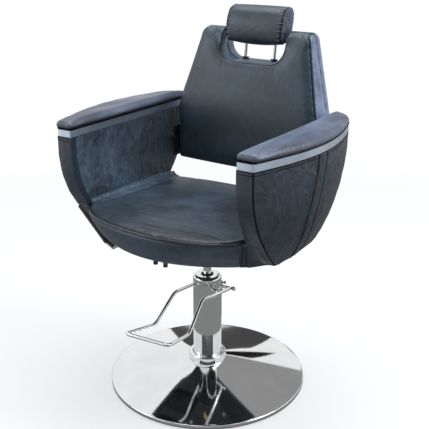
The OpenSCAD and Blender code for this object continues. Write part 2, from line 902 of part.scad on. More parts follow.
module front_apron() {
    levels = [for (k = [0:len(apron_up_shares) - 1]) k];
    // Sections from side to side: up the rear face, then down the front one
    section = function(across)
        concat([for (k = levels)
                let (z = apron_z + apron_up_shares[k] * apron_h, x = across * apron_side(z))
                [x, apron_back_y(x) - apron_in_shares[k] * apron_edge / 2, z]],
            [for (k = reversed(levels))
                let (z = apron_z + apron_up_shares[k] * apron_h, x = across * apron_side(z))
                [x, apron_y(x, z) + apron_in_shares[k] * apron_edge - apron_bulge_shares[k] * apron_bulge, z]]);
    color([0.2, 0.23, 0.27])
        skin([for (i = [0:2 * seat_steps]) section(i / seat_steps - 1)]);
}
module clamp_places() {
    for (side = [-1, 1])
        translate([clamp_x + side * clamp_pitch / 2, clamp_y, 0])
            children();
}
module clamp_bracket() {
    color([0.12, 0.12, 0.13])
        difference() {
            translate([clamp_x - clamp_w / 2, clamp_y - clamp_d / 2, seat_z - clamp_h])
                cube([clamp_w, clamp_d, clamp_h]);
            clamp_places()
                translate([0, 0, seat_z - clamp_h - cut])
                    cylinder(r = clamp_screw_r + run_gap, h = clamp_h);
        }
}
module clamp_screws() {
    foot = seat_z - clamp_h - clamp_drop - clamp_cap_h;
    color([0.1, 0.1, 0.1])
        clamp_places() {
            translate([0, 0, foot])
                cylinder(r = clamp_cap_r, h = clamp_cap_h);
            translate([0, 0, foot + clamp_cap_h])
                cylinder(r = clamp_screw_r, h = clamp_screw_l);
        }
}

// Recline lever

module lever_bracket() {
    color([0.12, 0.12, 0.13])
        for (side = [-1, 1])
            difference() {
                translate([lever_x - lever_ear_h, lever_y + side * (lever_w / 2 + seat_gap + lever_ear_t / 2)
                        - lever_ear_t / 2, lever_z - lever_ear_h])
                    cube([2 * lever_ear_h, lever_ear_t, seat_z - lever_z + lever_ear_h]);
                translate([lever_x, lever_y, lever_z])
                    rotate([90, 0, 0])
                        cylinder(r = lever_pin_r + run_gap, h = 2 * lever_w, center = true);
            }
}
module lever_pin() {
    length = lever_w + 2 * (lever_ear_t + seat_gap + lever_pin_over);
    color([0.7, 0.71, 0.73])
        translate([lever_x, lever_y, lever_z])
            rotate([90, 0, 0])
                cylinder(r = lever_pin_r, h = length, center = true);
}
// The bar's outline in the plane X, Z: from the eye down past the elbow, out, and up into the grip
function elbow() = [lever_x - elbow_out, lever_z - elbow_down];
function knee() = elbow() + [-knee_out, knee_up];
function grip_way() = [-cos(grip_rise), sin(grip_rise)];
// Unit vector square to the way from one point to the next
function square_to(a, b) = let (way = (b - a) / norm(b - a)) [-way[1], way[0]];
// One edge of a strip along a path, at a distance to its left, mitred at the bends
function strip_edge(path, off) = [for (i = [0:len(path) - 1])
    let (m = square_to(path[max(0, i - 1)], path[max(1, i)]),
        n = square_to(path[min(len(path) - 2, i)], path[min(len(path) - 1, i + 1)]))
    path[i] + off * (m + n) / (1 + m * n)];
module lever_bar() {
    eye = [lever_x, lever_z];
    path = [eye, elbow(), knee(), knee() + bar_in_grip * grip_way()];
    color([0.75, 0.76, 0.78])
        translate([0, lever_y + lever_w / 2, 0])
            rotate([90, 0, 0])
                linear_extrude(lever_w)
                    difference() {
                        union() {
                            translate(eye)
                                circle(r = lever_eye_r);
                            polygon(concat(strip_edge(path, lever_t / 2), reversed(strip_edge(path, -lever_t / 2))));
                        }
                        translate(eye)
                            circle(r = lever_pin_r);
                    }
}
module lever_grip() {
    start = knee() + grip_start * grip_way();
    wide = lever_w / 2 + grip_wall - grip_r;
    color([0.09, 0.1, 0.11])
        difference() {
            translate([start[0], lever_y, start[1]])
                rotate([0, grip_rise - 90, 0])
                    linear_extrude(grip_l) {
                        for (side = [-1, 1])
                            translate([0, side * wide])
                                circle(r = grip_r);
                        translate([-grip_r, -wide])
                            square([2 * grip_r, 2 * wide]);
                    }
            translate([start[0], lever_y, start[1]])
                rotate([0, grip_rise - 90, 0])
                    translate([-lever_t / 2, -lever_w / 2, -cut])
                        cube([lever_t, lever_w, bar_in_grip + cut]);
        }
}

// Arms

// Share of the way down from the straight upper part to the arm's foot
function arm_down(z) = clamp01((trim_z - z) / arm_h);
function arm_front_y(z) =
    -arm_front_reach + front_draw * pow(clamp01((seat_z + front_knee_h - z) / (front_knee_h - front_foot_h)), front_power);
function arm_rear_y(z) = arm_rear_reach - rear_draw * pow(arm_down(z), rear_power);
function arm_band_w(z) = lerp(arm_w, arm_foot_w, pow(clamp01((seat_z + arm_straight_h - z) / arm_straight_h), straight_power));
function arm_bump(z) = arm_swell * (1 - (1 - foot_swell_share) * pow(arm_down(z), swell_power));
// Width of the arm at a height and at a place from its front edge, rounded at its two ends
function arm_width(z, y, front, rear) = let (s = clamp01((y - front) / (rear - front)), d = arm_down(z))
    arm_band_w(z) + arm_bump(z) * sin(180 * s)
        - round_in(lerp(arm_end_r, arm_end_low_r, d), rear - y);
// Places along the arm, closer together at its rounded ends
function arm_run(front, rear, r = 0) = concat(
    [for (a = r > 0 ? [0, 20, 40, 62] : [0]) front + r * (1 - cos(a))],
    [for (i = [1:side_steps]) lerp(front + r, rear - arm_end_r, i / side_steps)],
    [for (a = [70, 50, 33, 20, 6]) rear - arm_end_r * (1 - cos(a))]);
module mirror_side(side) {
    mirror([side < 0 ? 1 : 0, 0, 0])
        children();
}
// Heights of the arm's sections. One of them is where its front edge starts to lean.
function arm_levels(low, high) = let (foot = seat_z + front_foot_h)
    concat(low < foot ? [low] : [], [for (i = [0:height_steps]) lerp(max(low, foot), high, i / height_steps)]);
// Side outline of the arm, drawn in by a distance, as points [y, z]
function arm_side(front_in, rear_in, low, high) = let (levels = arm_levels(low, high)) concat(
    [for (z = levels) [arm_front_y(z) + front_in, z]],
    [for (i = [len(levels) - 1:-1:0]) [arm_rear_y(levels[i]) - rear_in, levels[i]]]);
module pivot_cut(r) {
    translate([0, pivot_y, pivot_z])
        rod_x(r, rail_half + arm_w + arm_swell);
}
module arm_bolt_places() {
    for (x = [-1, 1], y = [-1, 1])
        translate([x * arm_bolt_x, y * arm_bolt_y, 0])
            children();
}
module arm_bolts() {
    color([0.55, 0.56, 0.58])
        arm_bolt_places()
            translate([0, 0, seat_z - strap_t - arm_bolt_head_h]) {
                cylinder(r = arm_bolt_head_r, h = arm_bolt_head_h);
                cylinder(r = arm_bolt_r, h = arm_bolt_head_h + arm_bolt_l);
            }
}
module arm_panel(side) {
    low = arm_z + panel_inset;
    front = band_t + panel_inset;
    color([0.62, 0.5, 0.36])
        difference() {
            mirror_side(side)
                translate([panel_x, 0, 0])
                    rotate([90, 0, 90])
                        linear_extrude(panel_t)
                            polygon(arm_side(front, panel_rear_in, low, trim_z));
            pivot_cut(bush_out);
            arm_bolt_places()
                cylinder(r = arm_bolt_r + bolt_gap, h = seat_z + arm_bolt_l);
        }
}
module arm_lining(side) {
    front = band_t + band_gap;
    low = arm_z;
    ring = function(z)
        let (a = arm_front_y(z) + front, b = arm_rear_y(z) - lining_in, c = lining_crown * crown_share(z))
        concat([for (i = [0:6]) [lining_x - c * sin(30 * i), lerp(b, a, i / 6), z]],
            [[lining_x + lining_t, a, z], [lining_x + lining_t, b, z]]);
    color([0.22, 0.25, 0.3])
        difference() {
            mirror_side(side)
                skin([for (z = arm_levels(low, trim_z - seat_gap)) ring(z)]);
            pivot_cut(pin_r + lining_hole);
        }
}
// The lining is crowned above the seat only, so that it stays clear of the cushion's side
function crown_share(z) = let (a = seat_top + lining_crown_rise) z < a ? 0 : sin(180 * clamp01((z - a) / (trim_z - a)));
module arm_volume(inset, low, high) {
    front_in = band_t + band_gap + inset;
    rings = [for (z = arm_levels(low, high)) let (a = arm_front_y(z) + front_in, b = arm_rear_y(z) - inset)
        concat([for (y = arm_run(a, b))
                [lining_x + max(lining_t + shell_least, arm_width(z, y, arm_front_y(z), b) - min(inset, shell_wall)), y, z]],
            [for (y = [b, lerp(b, a, 0.5), a]) [inset > 0 ? shell_x - cut : shell_x, y, z]])];
    skin(rings);
}
module arm_shell(side) {
    color([0.2, 0.23, 0.27])
        difference() {
            mirror_side(side)
                difference() {
                    arm_volume(0, arm_z, trim_z - seat_gap);
                    arm_volume(cavity_inset, arm_z + cavity_inset, trim_z + cut);
                }
            arm_bolt_places()
                cylinder(r = arm_bolt_r + bolt_gap, h = seat_z + arm_bolt_l);
        }
}
// Share that starts and ends slowly
function ease(t) = let (u = clamp01(t)) u * u * (3 - 2 * u);
// Front face of the arm: at its foot it runs over into the apron's face
function arm_face_y(x, z) =
    let (out = ease((x - apron_half) / (lining_x + band_blend - apron_half)), up = ease((z - apron_top) / band_blend))
    lerp(apron_y(min(x, apron_half), z), arm_front_y(z), 1 - (1 - out) * (1 - up));
module arm_front(side) {
    ring = function(z, inner)
        let (w = arm_band_w(z), front = arm_front_y(z), back = front + band_t,
            side_w = arm_width(z, back, front, arm_rear_y(z)))
        concat([for (s = [0, 0.5]) let (x = lerp(inner, lining_x, s)) [x, arm_face_y(x, z), z]],
            [for (s = band_across_shares)
                let (x = lining_x + w * s) [x, arm_face_y(x, z) - band_crown * sin(180 * s), z]],
            [[lining_x + lerp(w, side_w, band_turn_share), lerp(front, back, 1 - band_turn_share), z],
                [lining_x + side_w, back, z], [lining_x, back, z]],
            [for (s = band_inner_shares)
                let (x = lerp(inner, lining_x, s)) [x, z <= apron_top ? min(back, apron_back_y(x)) : back, z]]);
    color([0.13, 0.15, 0.18])
        mirror_side(side)
            skin(concat([for (s = band_foot_shares)
                let (z = lerp(apron_z, apron_top - band_step, s)) ring(z, apron_side(z) + seat_gap)],
                [for (s = band_up_shares) ring(lerp(apron_top, trim_z - seat_gap, s), cushion_half + seat_gap)]));
}
// Plan outline of the arm's top, drawn in by a distance, anticlockwise from the front inner corner.
// Its outer side can stand out by an overhang that fades towards the rear end.
function arm_plan(inset, over = 0) =
    let (a = -arm_front_reach + inset + plan_front_in, b = arm_rear_reach + arm_end_over - inset, z = trim_z,
        corner = arm_front_r / 2)
    concat([[lining_x + inset, a + corner], [lining_x + inset + corner, a]],
        [for (y = arm_run(a, b, arm_front_r))
            let (f = round_in(arm_front_r, y - a), out = over * (1 - pow((y - a) / (b - a), over_power)))
            [lining_x + max(arm_end_w, arm_width(z, y, a, b) - f) - inset + out, y]],
        [[lining_x + inset + corner, b], [lining_x + inset, b - corner]]);
module arm_trim(side) {
    color([0.72, 0.73, 0.75])
        mirror_side(side)
            translate([0, 0, trim_z])
                linear_extrude(trim_h)
                    difference() {
                        polygon(arm_plan(0));
                        polygon(arm_plan(trim_t));
                    }
}
module arm_board(side) {
    color([0.62, 0.5, 0.36])
        mirror_side(side)
            translate([0, 0, trim_z])
                linear_extrude(trim_h)
                    polygon(arm_plan(board_inset));
}
module arm_pad(side) {
    low = pad_z + seat_gap;
    ring = function(inset, h) [for (p = arm_plan(inset, pad_over)) [p[0], p[1], low + h]];
    lift = pad_h - pad_round;
    color([0.16, 0.19, 0.22])
        mirror_side(side)
            skin([ring(pad_draw, 0), ring(0, pad_draw), ring(0, lift - pad_draw),
                for (k = [0:3]) ring(pad_in_shares[k] * pad_round, lift + pad_up_shares[k] * pad_round)]);
}

// Recline gear

module hinge_bushes() {
    color([0.72, 0.6, 0.3])
        for (side = [-1, 1])
            difference() {
                translate([side * (panel_x + panel_t / 2), pivot_y, pivot_z])
                    rod_x(bush_out, panel_t / 2);
                pivot_cut(pin_r + run_gap);
            }
}
module hinge_plates() {
    color([0.12, 0.12, 0.13])
        for (side = [-1, 1])
            mirror_side(side) {
                translate([hinge_x, pivot_y - hinge_w / 2, pivot_z - hinge_l / 2])
                    cube([hinge_t, hinge_w, hinge_l]);
                translate([hinge_x, pivot_y, pivot_z])
                    rotate([0, 90, 0])
                        cylinder(r = pin_r, h = panel_out - hinge_x + (side < 0 ? crank_gap : 0));
            }
}
module recline_crank() {
    x = -(panel_out + crank_gap);
    color([0.4, 0.41, 0.43])
        translate([x, pivot_y, pivot_z])
            rotate([90, 0, -90]) {
                linear_extrude(crank_t) {
                    circle(r = crank_r);
                    rotate(180 - crank_rest)
                        translate([0, -crank_end_r])
                            square([crank_l, 2 * crank_end_r]);
                    translate([-crank_pin_y, crank_pin_z])
                        circle(r = crank_end_r);
                }
                translate([-crank_pin_y, crank_pin_z, 0])
                    cylinder(r = crank_pin_r, h = crank_t + crank_pin_l);
            }
}
// The gas spring's own frame: +Z runs from the rod's eye up to the tube's far end
module gas_frame() {
    translate([-gas_x, gas_y0, gas_z0])
        rotate([chord_turn - 90, 0, 0])
            children();
}
module gas_tube() {
    color([0.1, 0.1, 0.1]) {
        gas_frame()
            difference() {
                translate([0, 0, gas_tube_start])
                    cylinder(r = gas_r, h = gas_reach - gas_tube_start);
                translate([0, 0, gas_tube_start - cut])
                    cylinder(r = gas_rod_r + run_gap, h = gas_reach - gas_tube_start - gas_end_gap + cut);
            }
        gas_frame()
            translate([0, 0, gas_reach - gas_end_gap / 2])
                rotate([0, 90, 0])
                    cylinder(r = gas_end_gap / 2 - seat_gap, h = gas_x - panel_out);
    }
}
module gas_rod() {
    color([0.75, 0.76, 0.78])
        gas_frame()
            difference() {
                union() {
                    rod_x(eye_r, eye_t / 2);
                    cylinder(r = gas_rod_r, h = gas_rod_l);
                }
                rod_x(eye_bore, eye_t);
            }
}

// Back

function back_share(z) = clamp01((z - bend_z) / back_lean_h);
function back_front(z) = back_y + tan(back_lean) * max(0, z - bend_z);
function back_rear(z) = back_front(z) + lerp(back_t, back_top_t, back_share(z));
function back_side(z) = lerp(back_half, back_top_half, back_share(z));
// How far the back's rounded top and foot draw in at a height
function back_in(z) = round_in(back_edge_r, back_top - z) + round_in(back_foot_r, z - back_z);
back_levels_shares = [0, 0.015, 0.04, 0.12, 0.24, 0.36, 0.43, 0.5, 0.62, 0.74, 0.86, 0.95, 0.965, 0.98, 0.993, 1];
function back_heights() = [for (s = back_levels_shares) lerp(back_z, back_top, s)];
// A section of the back between two faces: front corners rounded, front face crowned
function back_ring(half, front, rear, r, crown, z) = let (deep = min(r, (rear - front) / 2)) concat(
    [for (i = [0:3]) let (a = 30 * i) [-half + r - r * cos(a), front + deep * (1 - sin(a)), z]],
    [for (i = [1:7]) let (u = i / 4 - 1) [u * (half - r), front - crown * (1 - u * u), z]],
    [for (i = [3:-1:0]) let (a = 30 * i) [half - r + r * cos(a), front + deep * (1 - sin(a)), z]],
    [[half, rear, z], [-half, rear, z]]);
module notch_prism(grow) {
    r = notch_r - grow;
    half = notch_half + grow;
    low = notch_z - grow;
    translate([0, notch_cut_y, 0])
        rotate([90, 0, 0])
            linear_extrude(notch_cut_y)
                polygon(concat([[half, back_top + 2 * notch_r], [-half, back_top + 2 * notch_r]],
                    [for (i = [0:8]) let (a = 180 + 90 * i / 8) [-half + r + r * cos(a), low + r + r * sin(a)]],
                    [for (i = [0:8]) let (a = 270 + 90 * i / 8) [half - r + r * cos(a), low + r + r * sin(a)]]));
}
module post_holes(r) {
    for (side = [-1, 1])
        post_frame(side)
            translate([0, 0, -post_below - cut])
                cylinder(r = r, h = post_below + post_above + cut + seat_gap);
}
module post_frame(side) {
    translate([side * post_half, post_y0, notch_z])
        rotate([-post_lean, 0, 0])
            children();
}
module back_cushion() {
    color([0.21, 0.24, 0.28])
        difference() {
            skin([for (z = back_heights())
                let (d = back_in(z))
                back_ring(back_side(z) - d / 2, back_front(z) + d, back_rear(z) - cover_t - back_board_t - 2 * seat_gap,
                    back_corner, back_crown * (1 - 0.6 * back_share(z)), z)]);
            notch_prism(0);
        }
}
module back_board() {
    rings = [for (z = [back_z + back_foot_r, lerp(back_z, bend_z, 0.5), bend_z, lerp(bend_z, back_top, 0.5),
            back_top - back_edge_r])
        let (half = back_side(z) - back_board_inset, rear = back_rear(z) - cover_t - seat_gap)
        [[-half, rear - back_board_t, z], [half, rear - back_board_t, z], [half, rear, z], [-half, rear, z]]];
    color([0.62, 0.5, 0.36])
        difference() {
            skin(rings);
            notch_prism(cover_wall);
        }
}
function cover_ring(z, wall) =
    let (d = back_in(z), half = back_side(z) - d / 2 - wall, front = back_rear(z) - cover_t,
        rear = back_rear(z) - d - wall, r = back_corner)
    concat([[-half, wall > 0 ? front - cut : front, z], [half, wall > 0 ? front - cut : front, z]],
        [for (i = [0:3]) let (a = 30 * i) [half - r + r * cos(a), min(rear, max(front, rear - r + r * sin(a))), z]],
        [for (i = [3:-1:0]) let (a = 30 * i)
            [-half + r - r * cos(a), min(rear, max(front, rear - r + r * sin(a))), z]]);
module back_cover() {
    inner = [for (z = back_heights()) if (z > back_z + back_foot_r && z < back_top - back_edge_r) z];
    color([0.18, 0.2, 0.24])
        difference() {
            skin([for (z = back_heights()) if (z > back_z && z < back_top) cover_ring(z, 0)]);
            difference() {
                skin([for (z = inner) cover_ring(z, cover_wall)]);
                notch_prism(cover_wall);
            }
            notch_prism(0);
            post_holes(sleeve_r + seat_gap);
        }
}
module post_sleeves() {
    color([0.1, 0.1, 0.1])
        for (side = [-1, 1])
            post_frame(side)
                difference() {
                    union() {
                        translate([0, 0, -sleeve_l])
                            cylinder(r = sleeve_r, h = sleeve_l + sleeve_rim_h);
                        translate([0, 0, sleeve_rim_h])
                            cylinder(r = sleeve_rim_r, h = sleeve_rim_h);
                    }
                    translate([0, 0, -sleeve_l - cut])
                        cylinder(r = post_r + run_gap, h = sleeve_l + 3 * sleeve_rim_h);
                }
}

// Headrest

module headrest_posts() {
    color([0.82, 0.83, 0.85])
        for (side = [-1, 1])
            post_frame(side)
                translate([0, 0, -post_below])
                    cylinder(r = post_r, h = post_below + post_above);
}
head_profile_shares = [[0.04, 0.02], [0.5, -0.01], [0.9, 0.02], [0.99, 0.1], [1, 0.3], [0.99, 0.55], [0.94, 0.78],
    [0.84, 0.93], [0.68, 1], [0.45, 1], [0.26, 0.95], [0.12, 0.84], [0.03, 0.68], [-0.02, 0.5], [-0.03, 0.3],
    [-0.01, 0.12]];
module headrest_pad() {
    side_shares = [-1, -0.97, -0.9, -0.6, -0.3, 0, 0.3, 0.6, 0.9, 0.97, 1];
    draw_shares = [0.12, 0.05, 0.015, 0, 0, 0, 0, 0, 0.015, 0.05, 0.12];
    lean = tan(post_lean);
    color([0.2, 0.23, 0.27])
        difference() {
            skin([for (k = [0:len(side_shares) - 1])
                let (d = draw_shares[k])
                [for (p = reversed(head_profile_shares))
                    let (v = lerp(p[1], 0.5, 2 * d), w = lerp(p[0], 0.5, 2 * d))
                    [side_shares[k] * head_half, head_y + w * head_t + lean * v * head_h, head_z + v * head_h]]]);
            post_holes(post_r + seat_gap);
        }
}

base_dome();
base_foot_ring();
base_weight();
base_bolts();
column_tube();
collar_ring();
column_cap();
oil_cylinder();
rod_bush();
rod_wiper();
pedal_bracket();
plunger_barrel();
release_screw();
pedal_loop();
pedal_shaft();
pedal_nuts();
pedal_yoke();
pump_plunger();
piston_rod();
piston_head();
thrust_washer();
swivel_nut();
mounting_plate();
plate_bolts();
seat_rails();
seat_board();
seat_cushion();
front_apron();
clamp_bracket();
clamp_screws();
lever_bracket();
lever_pin();
lever_bar();
lever_grip();
arm_panel(1);  // arm_panel_left
arm_panel(-1);  // arm_panel_right
arm_lining(1);  // arm_lining_left
arm_lining(-1);  // arm_lining_right
arm_shell(1);  // arm_shell_left
arm_shell(-1);  // arm_shell_right
arm_front(1);  // arm_front_left
arm_front(-1);  // arm_front_right
arm_board(1);  // arm_board_left
arm_board(-1);  // arm_board_right
arm_trim(1);  // arm_trim_left
arm_trim(-1);  // arm_trim_right
arm_pad(1);  // arm_pad_left
arm_pad(-1);  // arm_pad_right
arm_bolts();
hinge_bushes();
hinge_plates();
recline_crank();
gas_tube();
gas_rod();
back_board();
back_cushion();
back_cover();
post_sleeves();
headrest_posts();
headrest_pad();
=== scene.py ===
"""The looks of a salon chair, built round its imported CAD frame. Metres, +Z up, the sitter faces -Y."""

import math

import bmesh
import bpy
import numpy as np
from mathutils import Matrix, Vector, kdtree, noise
from mathutils.bvhtree import BVHTree


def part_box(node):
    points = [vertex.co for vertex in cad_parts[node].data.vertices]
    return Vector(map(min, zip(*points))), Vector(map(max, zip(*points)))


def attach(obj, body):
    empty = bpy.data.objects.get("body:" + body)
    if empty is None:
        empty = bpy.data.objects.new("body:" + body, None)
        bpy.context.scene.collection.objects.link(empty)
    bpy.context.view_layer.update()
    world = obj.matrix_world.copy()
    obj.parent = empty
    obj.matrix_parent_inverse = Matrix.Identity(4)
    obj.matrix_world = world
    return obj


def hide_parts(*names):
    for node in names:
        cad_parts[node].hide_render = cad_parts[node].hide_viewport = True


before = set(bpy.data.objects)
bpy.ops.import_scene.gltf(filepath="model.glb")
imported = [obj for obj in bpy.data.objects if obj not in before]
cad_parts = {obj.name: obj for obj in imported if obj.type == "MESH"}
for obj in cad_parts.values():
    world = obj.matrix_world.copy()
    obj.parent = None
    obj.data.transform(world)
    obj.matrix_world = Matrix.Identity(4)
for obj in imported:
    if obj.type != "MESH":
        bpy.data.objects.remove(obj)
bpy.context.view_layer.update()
scene = bpy.context.scene

# Camera
# It stands where the photographer stood, a little to the sitter's left and above the headrest, and looks down
# at the seat. Its place, aim and focal length were fitted to the chair's outline.
camera_place = Vector((1.1976, -1.7627, 1.319))
camera_way = Vector((-0.51942, 0.78157, -0.34549))
focal_px = 776.0
frame_px = 429.0


def linked(name, data):
    """A new object, linked to the scene."""
    made = bpy.data.objects.new(name, data)
    scene.collection.objects.link(made)
    return made


camera_data = bpy.data.cameras.new("camera")
camera_data.lens = focal_px / frame_px * camera_data.sensor_width
camera = linked("camera", camera_data)
camera.location = camera_place
camera.rotation_euler = camera_way.to_track_quat("-Z", "Y").to_euler()
scene.camera = camera
scene.view_settings.view_transform = "Standard"


# Studio
# A white floor and surround that the chrome mirrors, with soft lamps overhead and behind. The floor keeps the
# chair's soft shadow: part of its white is its own light, and the rest falls on it from the studio.
class Wire:
    """A socket of a node tree. Sums of wires and numbers add the Math nodes that they need."""

    def __init__(self, tree, socket):
        self.tree, self.socket = tree, socket

    def math(self, operation, first, second):
        return node(self.tree, "Math", {0: first, 1: second}, operation=operation)

    def __add__(self, other):
        return self.math("ADD", self, other)

    def __rsub__(self, other):
        return self.math("SUBTRACT", other, self)

    def __mul__(self, other):
        return self.math("MULTIPLY", self, other)

    def __gt__(self, other):
        return self.math("GREATER_THAN", self, other)

    def over(self, low, high):
        """Share of the way from low to high, kept between 0 and 1."""
        return node(self.tree, "MapRange", {"Value": self, "From Min": low, "From Max": high})

    __radd__ = __add__
    __rmul__ = __mul__


def node(tree, kind, values, output=0, **settings):
    """Adds a node: its settings first, then the numbers, colours or wires of its sockets."""
    made = tree.nodes.new(kind if "Node" in kind else f"ShaderNode{kind}")
    for name, value in settings.items():
        setattr(made, name, value)
    for name, value in values.items():
        if isinstance(value, Wire):
            tree.links.new(value.socket, made.inputs[name])
        else:
            made.inputs[name].default_value = value
    return Wire(tree, made.outputs[output]) if made.outputs else None


def emptied(owner):
    """The node tree of a world or material, without its first nodes."""
    owner.use_nodes = True
    owner.node_tree.nodes.clear()
    return owner.node_tree


def seen_directly(tree):
    """1 for rays from the camera, and for those that a mirror or glass sends on."""
    rays = ["Is Camera Ray", "Is Glossy Ray", "Is Transmission Ray"]
    seen = [node(tree, "LightPath", {}, ray) for ray in rays]
    return (seen[0] + seen[1] + seen[2]).over(0.0, 1.0)


white = (1.0, 1.0, 1.0, 1.0)
surround_light = (0.86, 0.92, 1.0, 1.0)
surround_level = 0.5
world = bpy.data.worlds.new("studio")
sky = emptied(world)
glows = [node(sky, "Background", {"Color": color, "Strength": level})
         for color, level in ((surround_light, surround_level), (white, 1.0))]
surround = node(sky, "MixShader", {0: seen_directly(sky), 1: glows[0], 2: glows[1]})
node(sky, "OutputWorld", {"Surface": surround})
scene.world = world

floor_half = 30.0
floor_own_light = 0.52
floor_color = (0.92, 0.895, 0.865, 1.0)
floor_near = 1.1
floor_far = 2.6


def card(name, corners, surface):
    """A flat face of the studio, with the surface that a function wires."""
    look = bpy.data.materials.new(name)
    tree = emptied(look)
    node(tree, "OutputMaterial", {"Surface": surface(tree)})
    mesh = bpy.data.meshes.new(name)
    mesh.from_pydata(corners, [], [(0, 1, 2, 3)])
    mesh.materials.append(look)
    made = linked(name, mesh)
    return made


def floor_surface(tree):
    """White paint that gives more light of its own far from the chair."""
    place = node(tree, "TexCoord", {}, "Object")
    away = node(tree, "VectorMath", {0: place}, "Value", operation="LENGTH").over(floor_near, floor_far)
    own = seen_directly(tree) * (floor_own_light + away * (1 - floor_own_light))
    painted = node(tree, "BsdfDiffuse", {"Color": floor_color})
    lit = node(tree, "Emission", {"Color": white, "Strength": 1.0})
    return node(tree, "MixShader", {0: own, 1: painted, 2: lit})


floor_corners = [(x * floor_half, y * floor_half, 0.0) for x, y in ((-1, -1), (1, -1), (1, 1), (-1, 1))]
card("floor", floor_corners, floor_surface)

lamp_color = (0.84, 0.92, 1.0)
chair_middle = Vector((0.0, 0.0, 0.7))
for name, place, size, power in (("lamp_overhead", (-0.3, 0.3, 3.2), 2.0, 62),
                                 ("lamp_high_right", (2.0, 0.9, 3.0), 1.2, 62),
                                 ("lamp_front_left", (-2.4, -2.2, 2.2), 1.4, 30)):
    lamp_data = bpy.data.lights.new(name, "AREA")
    lamp_data.shape = "SQUARE"
    lamp_data.color = lamp_color
    lamp_data.size, lamp_data.energy = size, power
    lamp = linked(name, lamp_data)
    lamp.location = place
    lamp.rotation_euler = (chair_middle - Vector(place)).to_track_quat("-Z", "Y").to_euler()


def flag(name, near, far, left, right, low, high, level):
    """A card of one grey that only mirrors and glosses see. Its place is given along and across the view."""
    along = Vector((camera_way.x, camera_way.y, 0.0)).normalized()
    across = Vector((along.y, -along.x, 0.0))
    places = ((near, left, low), (near, right, low), (far, right, high), (far, left, high))
    corners = [(*(along * a + across * b).xy, z) for a, b, z in places]
    grey = {"Color": (level, level, level, 1.0), "Strength": 1.0}
    made = card(name, corners, lambda tree: node(tree, "Emission", grey))
    made.visible_camera = made.visible_diffuse = made.visible_shadow = made.visible_transmission = False


flag("flag_floor", -1.6, 3.2, -1.6, 3.2, 0.002, 0.002, 0.26)
flag("flag_front", -3.4, -3.4, -3.5, 3.5, 0.3, 4.5, 0.1)
flag("flag_low_behind", 4.0, 4.0, -0.55, 0.9, 0.35, 1.15, 0.07)
flag("flag_dark_right", 4.0, 4.0, 0.55, 1.25, 1.4, 2.0, 0.01)
flag("flag_high_right", 4.0, 4.0, 0.12, 4.0, 2.15, 9.0, 0.32)


# Base dome, collar and column
# Spun and chromed steel: a shallow dome with a rolled rim, a collar ring on its top, and the pump's tube with
# a domed cap. They are lathed with a finer outline than the CAD solids, so that they mirror cleanly.
def lerp(a, b, share):
    return a + (b - a) * share


def clamp01(value):
    return np.clip(value, 0.0, 1.0)


def quarter(count, start=0.0, end=math.pi / 2):
    """Angles over a quarter turn, or a part of it."""
    return np.linspace(start, end, count)


def rounded(x, y, rx, ry, angles):
    """Points of a rounded corner, from its flat end at angle 0 to its upright end."""
    return [(x - rx + rx * math.sin(a), y + ry * (1 - math.cos(a))) for a in angles]


def skin(name, points, caps=True):
    """Mesh over closed rings of points. The two end rings get caps."""
    points = np.asarray(points, float)
    rows, columns = points.shape[:2]
    mesh = bmesh.new()
    verts = [[mesh.verts.new(p) for p in row] for row in points]
    for j in range(rows - 1):
        for i in range(columns):
            k = (i + 1) % columns
            mesh.faces.new((verts[j][i], verts[j][k], verts[j + 1][k], verts[j + 1][i]))
    for row in (0, rows - 1) if caps else ():
        middle = mesh.verts.new(points[row].mean(axis=0))
        for i in range(columns):
            mesh.faces.new((verts[row][i], verts[row][(i + 1) % columns], middle))
    bmesh.ops.remove_doubles(mesh, verts=mesh.verts, dist=1e-6)
    bmesh.ops.recalc_face_normals(mesh, faces=mesh.faces)
    return made_mesh(name, mesh)


def made_mesh(name, form):
    data = bpy.data.meshes.new(name)
    form.to_mesh(data)
    form.free()
    return data


def lathe(name, profile, turns=224):
    """A closed profile of (radius, height) spun about the column's axis."""
    angles = np.linspace(0.0, 2 * math.pi, turns, endpoint=False)
    rings = [[(r * math.cos(a), r * math.sin(a), z) for r, z in profile] for a in angles]
    return skin(name, rings + rings[:1], caps=False)


def put(name, mesh, look, body, slot, *nodes, crease=35.0):
    """Makes a mesh a piece of the chair: its finish, the body it rides on and the CAD nodes it stands for."""
    mesh.name = name
    mesh.shade_smooth()
    mesh.set_sharp_from_angle(angle=math.radians(crease))
    mesh.materials.clear()
    mesh.materials.append(look.material)
    made = linked(name, mesh)
    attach(made, body)
    if nodes:
        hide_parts(*nodes)
    return made


